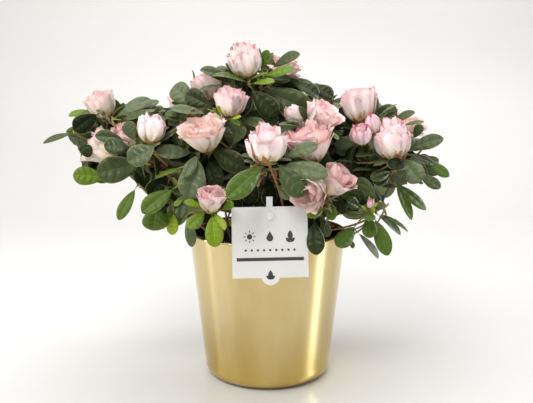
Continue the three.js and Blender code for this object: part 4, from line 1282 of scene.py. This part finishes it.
def grow_seen_leaves(leaves, twigs, grown, specs, draw):
    """The placed leaves, each on the nearest twig, or on a new one that grows out to it."""
    joints = [twig.at(1) for twig in grown]
    for spec in specs:
        root, tip, face, wide, tone = seen_leaf(spec)
        add_leaf(leaves, root, tip, face, wide, tone + draw(-0.3, 0.3), draw, fine=True)
        nearest = min(joints, key=lambda joint: np.linalg.norm(joint - root))
        if np.linalg.norm(nearest - root) > LEAF_REACH:
            ways = [(twig, share) for twig in grown for share in (0.35, 0.5, 0.65, 0.8)]
            parent, share = min(ways, key=lambda way: np.linalg.norm(way[0].at(way[1]) - root))
            nearest = root - unit(tip - root) * 3
            shoot = twig_curve(parent.at(share), nearest, parent.heading(share))
            add_wood(twigs, shoot, "new")
            joints.append(nearest)
        add_wood(twigs, twig_curve(nearest, root, unit(tip - root)), "stalk")


def foliage():
    """Every mass as a piece of leaves, one of twigs and, where it blooms, one of petals."""
    for index, name in enumerate(MASSES):
        leaves, petals, twigs = grow_mass(index, name)
        on_frame(leaves.object(f"leaves_{name}", LEAF_SLOTS), "foliage", f"foliage_{name}")
        on_frame(twigs.object(f"twigs_{name}", TWIG_SLOTS), "foliage", f"foliage_{name}")
        if petals.count:
            on_frame(petals.object(f"blooms_{name}", PETAL_SLOTS), "foliage", f"foliage_{name}")


# Trunk and boughs


BARK_DEPTH = {"trunk": 0.8, "bough": 0.3}


def bark_relief(depth, seed):
    """Ridges that run along a limb, broken into flakes."""

    def relief(point, around):
        ridges = math.sin(5 * around + 2.5 * noise.noise(Vector((point[2] * 0.12, seed, around))))
        flakes = noise.noise(Vector((point[0] * 0.45 + seed, point[1] * 0.45, point[2] * 0.22)))
        return depth * (0.35 * ridges + 0.9 * flakes)

    return relief


def trunk_girth(share):
    """The trunk's radius by share of its length, with the flare at its root."""
    flare = 1 + TRUNK["flare"] * max(0.0, 1 - share / FLARE_SHARE) ** 2
    return taper(TRUNK["root_radius"], TRUNK["tip_radius"])(share) * flare


def limbs():
    """The trunk and the boughs, in bark."""
    bark = bark_material()
    trunk, boughs = Batch(), Batch()
    tube(trunk, TRUNK_LINE, trunk_girth, 40, 48, relief=bark_relief(BARK_DEPTH["trunk"], 1.0))
    on_frame(trunk.object("trunk_bark", [bark]), "bark", "trunk")
    girth = taper(BOUGH["root_radius"], BOUGH["tip_radius"])
    for index in range(len(MASSES)):
        relief = bark_relief(BARK_DEPTH["bough"], 7.0 + index)
        tube(boughs, bough_curve(index), girth, 14, 30, relief=relief)
    on_frame(boughs.object("boughs_bark", [bark]), "bark", *[f"bough_{name}" for name in MASSES])


# Pot and soil


# Turned surfaces start this near their axis, and the pot's underside is one flat ring up to this radius.
AXIS, POT_FLAT = 0.01, 30
# The soil's surface is sunk a little, so that its lumps stay near the solid's level. Its edge turns down.
SOIL = {"sides": 72, "clearance": 0.4, "bottom": 12, "sunk": 0.9, "lumps": 1.1, "crumbs": 420, "edge": 4}
CRUMB_PROFILE = [(0.02, -1), (0.8, -0.5), (1, 0.1), (0.7, 0.7), (0.02, 1)]


def lathe(profile, sides=128):
    """A turned solid's points, from (radius, height) pairs in order."""
    around = np.linspace(0, 2 * math.pi, sides, endpoint=False)
    return np.array([[(r * math.cos(a), r * math.sin(a), z) for a in around] for r, z in profile])


def arc(centre, radius, start, end, steps):
    """Points along an arc, between two angles in degrees."""
    angles = np.radians(np.linspace(start, end, steps))
    return [(centre[0] + radius * math.cos(a), centre[1] + radius * math.sin(a)) for a in angles]


def inner_radius(z):
    """The radius of the pot's inside at a height."""
    return pot_radius(z) - POT["wall"]


def soil_radius(z):
    """The radius of the soil at a height, just clear of the pot."""
    return inner_radius(z) - SOIL["clearance"]


def pot():
    """The pot's turned shell: foot, rounded corner, side, rounded lip, inside and floor."""
    corner, lip, floor = POT["corner"], POT["wall"] / 2, POT["floor"]
    profile = [(AXIS, 0.0), (POT_FLAT, 0.0)]
    profile += arc((pot_radius(corner) - corner, corner), corner, -90, 6, 14)
    profile += [(pot_radius(z), z) for z in np.linspace(corner + 6, POT["height"] - 2 * lip, 12)]
    profile += arc((pot_radius(POT["height"] - lip) - lip, POT["height"] - lip), lip, 0, 180, 12)
    profile += [(inner_radius(z), z) for z in np.linspace(POT["height"] - 2 * lip, floor + corner, 8)]
    profile += [(inner_radius(floor) - corner / 2, floor), (AXIS, floor)]
    batch = Batch()
    batch.grid(lathe(profile)[:, ::-1], around=True)
    on_frame(batch.object("pot_glaze", [gold_material()]), "gold", "pot")


def add_crumb(batch, draw):
    """A small lump of bark that lies somewhere on the soil."""
    away = math.sqrt(draw()) * (soil_radius(SOIL_LEVEL) - SOIL["edge"])
    around = draw(0, 2 * math.pi)
    centre = np.array([away * math.cos(around), away * math.sin(around), SOIL_LEVEL + draw(-0.6, 0.5)])
    size = draw(0.6, 2.2)
    squash = np.array([draw(0.5, 1.3), draw(0.5, 1.3), draw(0.3, 0.6)]) * size
    lump = lathe(CRUMB_PROFILE, 6)
    lump = lump * (1 + 0.25 * np.array([[[draw(-1, 1)] for _ in row] for row in lump]))
    batch.grid(centre + lump * squash, around=True)


def soil():
    """A lumpy surface of peat over the pot's filling, with loose crumbs of bark on it."""
    edge, bottom = SOIL_LEVEL - SOIL["edge"], SOIL["bottom"]
    reach = np.linspace(4, soil_radius(SOIL_LEVEL) - 1, 22)
    rings = [(AXIS, SOIL_LEVEL)] + [(r, SOIL_LEVEL) for r in reach]
    rings += [(soil_radius(edge), edge), (soil_radius(bottom), bottom), (AXIS, bottom)]
    points = lathe(rings, SOIL["sides"])
    for point in points[:-3].reshape(-1, 3):
        x, y, z = point
        broad = noise.noise(Vector((x * 0.12, y * 0.12, 3)))
        fine = noise.noise(Vector((x * 0.4, y * 0.4, 9)))
        point[2] = z - SOIL["sunk"] + SOIL["lumps"] * (broad + 0.5 * fine)
    batch = Batch()
    batch.grid(points[:, ::-1], around=True)
    draw = random_from(SEEDS["crumbs"])
    for _ in range(SOIL["crumbs"]):
        add_crumb(batch, draw)
    on_frame(batch.object("soil_surface", [soil_material()]), "soil", "soil")


# Label and stake


# The signs on the card, in millimetres across and up its face. A leaf outline has a length and a turn.
RULE = {"half": 26.5, "low": 13.3, "high": 16.0}
SUN = {"middle": (-16, 32.5), "disc": 2.1, "rays": 8, "inner": 3.1, "outer": 4.8, "half": 0.35}
DROP = (0, 28.3, 7.6)
LEAF_SIGNS = [(16, 27.6, 5.2, 0.75), (16, 27.6, 5.2, -0.75), (16, 29.2, 8.0, 0)]
DOTS = {"across": [4.8 * k for k in range(-4, 5)], "high": 21.8, "radius": 0.95}
SPRIG = [(0, -1.6, 7.6, 0), (0, -1.2, 4.6, 0.85), (0, -1.2, 4.6, -0.85)]
SIGN_THICKNESS = 0.04
CARD_BEVEL = 0.08


def label_matrix(lift):
    """The card's own x is across, y up it and z out of its face. It hangs a little askew on its peg."""
    hole_high = LABEL["height"] - LABEL["hole_drop"]
    peg = CARD_FOOT + CARD_OUT * lift + CARD_UP * hole_high
    rows = [(float(k == 0), CARD_UP[k], CARD_OUT[k], peg[k] * MM) for k in range(3)]
    to_plant = Matrix(rows + [(0, 0, 0, 1)])
    return to_plant @ Matrix.Rotation(LABEL["swing"], 4, "Z") @ Matrix.Translation((0, -hole_high * MM, 0))


def plate(name, outlines, thickness, lift, slot_material, bevel=0.0):
    """A flat plate on the card's plane, cut from closed outlines; an inner outline is a hole."""
    curve = bpy.data.curves.new(name, "CURVE")
    curve.dimensions = "2D"
    curve.fill_mode = "BOTH"
    curve.extrude = (thickness / 2 - bevel) * MM
    curve.bevel_depth = bevel * MM
    curve.offset = -bevel * MM
    for outline in outlines:
        spline = curve.splines.new("POLY")
        spline.points.add(len(outline) - 1)
        for point, (x, y) in zip(spline.points, outline):
            point.co = (x * MM, y * MM, 0, 1)
        spline.use_cyclic_u = True
    holder = linked(name + "_outline", curve)
    mesh = bpy.data.meshes.new_from_object(holder.evaluated_get(bpy.context.evaluated_depsgraph_get()))
    bpy.data.objects.remove(holder)
    mesh.transform(label_matrix(lift + thickness / 2))
    mesh.materials.clear()
    mesh.materials.append(slot_material)
    mesh.name = name
    return linked(name, mesh)


def circle(x, y, radius, steps=32):
    """A circle's outline."""
    return arc((x, y), radius, 0, 360 - 360 / steps, steps)


def card_outline():
    """The card's outline: the round tab below, then the four rounded corners."""
    r = LABEL["corner_radius"]
    side, top = LABEL["width"] / 2 - r, LABEL["height"] - r
    tab, rise = LABEL["tab_radius"], LABEL["tab_rise"]
    dip = math.degrees(math.asin(rise / tab))
    outline = arc((0, rise), tab, 180 + dip, 360 - dip, 28)
    for k, corner in enumerate(((side, r), (side, top), (-side, top), (-side, r))):
        outline += arc(corner, r, 90 * k - 90, 90 * k, 6)
    return outline


def leaf_sign(x, y, length, turn):
    """The outline of a plain leaf that points up, turned by an angle."""
    u = np.linspace(0, 1, 14)
    half = 0.26 * length * np.sin(math.pi * u) ** 0.9
    points = [(h, length * s) for h, s in zip(half, u)]
    points += [(-h, length * s) for h, s in zip(half, u)][-2:0:-1]
    cos, sin = math.cos(turn), math.sin(turn)
    return [(x + a * cos - b * sin, y + a * sin + b * cos) for a, b in points]


def drop_sign(x, y, size):
    """The outline of a plain water drop."""
    bowl = arc((x, y + 0.4 * size), 0.36 * size, -215, 35, 24)
    return bowl + [(x, y + 1.1 * size)]


def sun_signs():
    """The outlines of a plain sun: a disc and its rays."""
    middle = np.array(SUN["middle"])
    outlines = [circle(*middle, SUN["disc"])]
    for k in range(SUN["rays"]):
        angle = 2 * math.pi * k / SUN["rays"]
        ray = np.array([math.cos(angle), math.sin(angle)])
        side = np.array([-ray[1], ray[0]]) * SUN["half"]
        start, end = middle + ray * SUN["inner"], middle + ray * SUN["outer"]
        outlines.append([start - side, end - side, end + side, start + side])
    return outlines


def label():
    """The card, and the plain care signs, dots, rule and sprig on it."""
    hole = circle(0, LABEL["height"] - LABEL["hole_drop"], LABEL["hole_radius"], 28)
    outlines = [card_outline(), hole[::-1]]
    body = plate("label_card_sheet", outlines, LABEL["thickness"], 0, card_material(), CARD_BEVEL)
    on_frame(body, "card", "label_card")
    half, low, high = RULE["half"], RULE["low"], RULE["high"]
    signs = [[(-half, low), (half, low), (half, high), (-half, high)]]
    signs += sun_signs() + [drop_sign(*DROP)]
    signs += [leaf_sign(*spec) for spec in LEAF_SIGNS]
    signs += [circle(x, DOTS["high"], DOTS["radius"], 16) for x in DOTS["across"]]
    signs += [leaf_sign(*spec) for spec in SPRIG]
    ink = material("ink", colour(52, 44, 46), 0.5)
    face = LABEL["thickness"]
    plates = [plate(f"label_sign_{k}", [sign], SIGN_THICKNESS, face, ink) for k, sign in enumerate(signs)]
    on_frame(joined("label_signs", plates), "card")


def joined(name, pieces):
    """Several meshes in place, as one piece."""
    bpy.ops.object.select_all(action="DESELECT")
    for piece in pieces:
        piece.select_set(True)
    bpy.context.view_layer.objects.active = pieces[0]
    bpy.ops.object.join()
    made = bpy.context.view_layer.objects.active
    made.name = name
    made.data.name = name
    return made


def stake():
    """The CAD stake keeps its shape and gets its clear plastic."""
    clear = material("clear_plastic", colour(250, 251, 251), 0.15, Transmission_Weight=0.4, IOR=1.49)
    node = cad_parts["label_stake"]
    node.data.materials.clear()
    node.data.materials.append(clear)


# Camera, light and stage


# Softboxes, in metres and watts: place, target, width and height, power, tint, and the kind of ray that
# passes them by.
CROWN, POT_SIDE = (0, 0, 0.19), (0, 0, 0.12)
SOFTBOXES = {
    "window_left": ((-1.0, -0.3, 0.9), CROWN, (0.9, 1.0), 6.5, (1, 0.99, 0.97), ""),
    "window_back": ((0.4, 1.0, 1.0), CROWN, (1.4, 1.0), 8, (1, 1, 1), ""),
    "overhead": ((0.0, 0.0, 1.5), CROWN, (1.2, 1.2), 9.8, (1, 1, 1), ""),
    "front_high": ((-0.3, -0.9, 1.2), CROWN, (0.6, 0.5), 11, (1, 1, 1), ""),
    # The bright band on the gold comes from a strip that lights nothing else.
    "strip_right": ((0.85, -0.08, 0.52), POT_SIDE, (0.22, 0.78), 15, (0.88, 0.94, 1), "diffuse"),
    "strip_left": ((-0.85, 0.06, 0.42), POT_SIDE, (0.12, 0.9), 1.6, (1, 1, 1), ""),
    "backdrop": ((0.0, 0.4, 1.8), (0, 1.2, 0.5), (2.4, 0.6), 16.5, (1, 1, 1), ""),
    # Light that a pale room sends back from below; the gold doesn't mirror it.
    "front_low": ((-0.15, -1.1, 0.06), CROWN, (1.0, 0.4), 6, (1, 1, 1), "glossy"),
}
ROOM_LIGHT = {"Color": (1.0, 0.99, 0.98, 1), "Strength": 0.395}
STAGE = {"half": 2600, "front": -2500, "back": 700, "bend": 500, "top": 2200}


def camera():
    """A camera with the photograph's view."""
    view = bpy.data.cameras.new("camera")
    view.lens = LENS
    view.sensor_width = SENSOR
    thing = linked("camera", view)
    thing.location = [part * MM for part in VIEW["eye"]]
    thing.rotation_euler = (math.pi / 2 - VIEW["pitch"], 0, 0)
    bpy.context.scene.camera = thing


def softbox(name, place, target, size, power, tint, unseen_by):
    """An area light that no camera shows."""
    light = bpy.data.lights.new(name, "AREA")
    light.shape = "RECTANGLE"
    light.size, light.size_y = size
    light.energy = power
    light.color = tint
    thing = linked(name, light)
    thing.location = place
    thing.rotation_euler = (Vector(target) - thing.location).to_track_quat("-Z", "Y").to_euler()
    thing.visible_camera = False
    thing.visible_diffuse = unseen_by != "diffuse"
    thing.visible_glossy = unseen_by != "glossy"


def lights():
    """The softboxes and the room's own dim light."""
    for name, settings in SOFTBOXES.items():
        softbox(name, *settings)
    world = bpy.data.worlds.new("room")
    world.use_nodes = True
    for name, value in ROOM_LIGHT.items():
        world.node_tree.nodes["Background"].inputs[name].default_value = value
    bpy.context.scene.world = world
    bpy.context.scene.view_settings.view_transform = "Standard"


def stage():
    """A pale glossy table that sweeps up behind into a pale backdrop."""
    back, bend, half = STAGE["back"], STAGE["bend"], STAGE["half"]
    sweep = [(STAGE["front"], 0), (back, 0)]
    sweep += [(back + bend * math.sin(a), bend - bend * math.cos(a)) for a in np.linspace(0.1, 1.5, 12)]
    sweep += [(back + bend, bend + 60), (back + bend, STAGE["top"])]
    batch = Batch()
    batch.grid(np.array([[(x, y, z) for x in (-half, half)] for y, z in sweep]))
    floor = batch.object("table", [material("table_top", colour(198, 197, 195), 0.4)])


camera()
stage()
lights()
pot()
soil()
limbs()
foliage()
label()
stake()
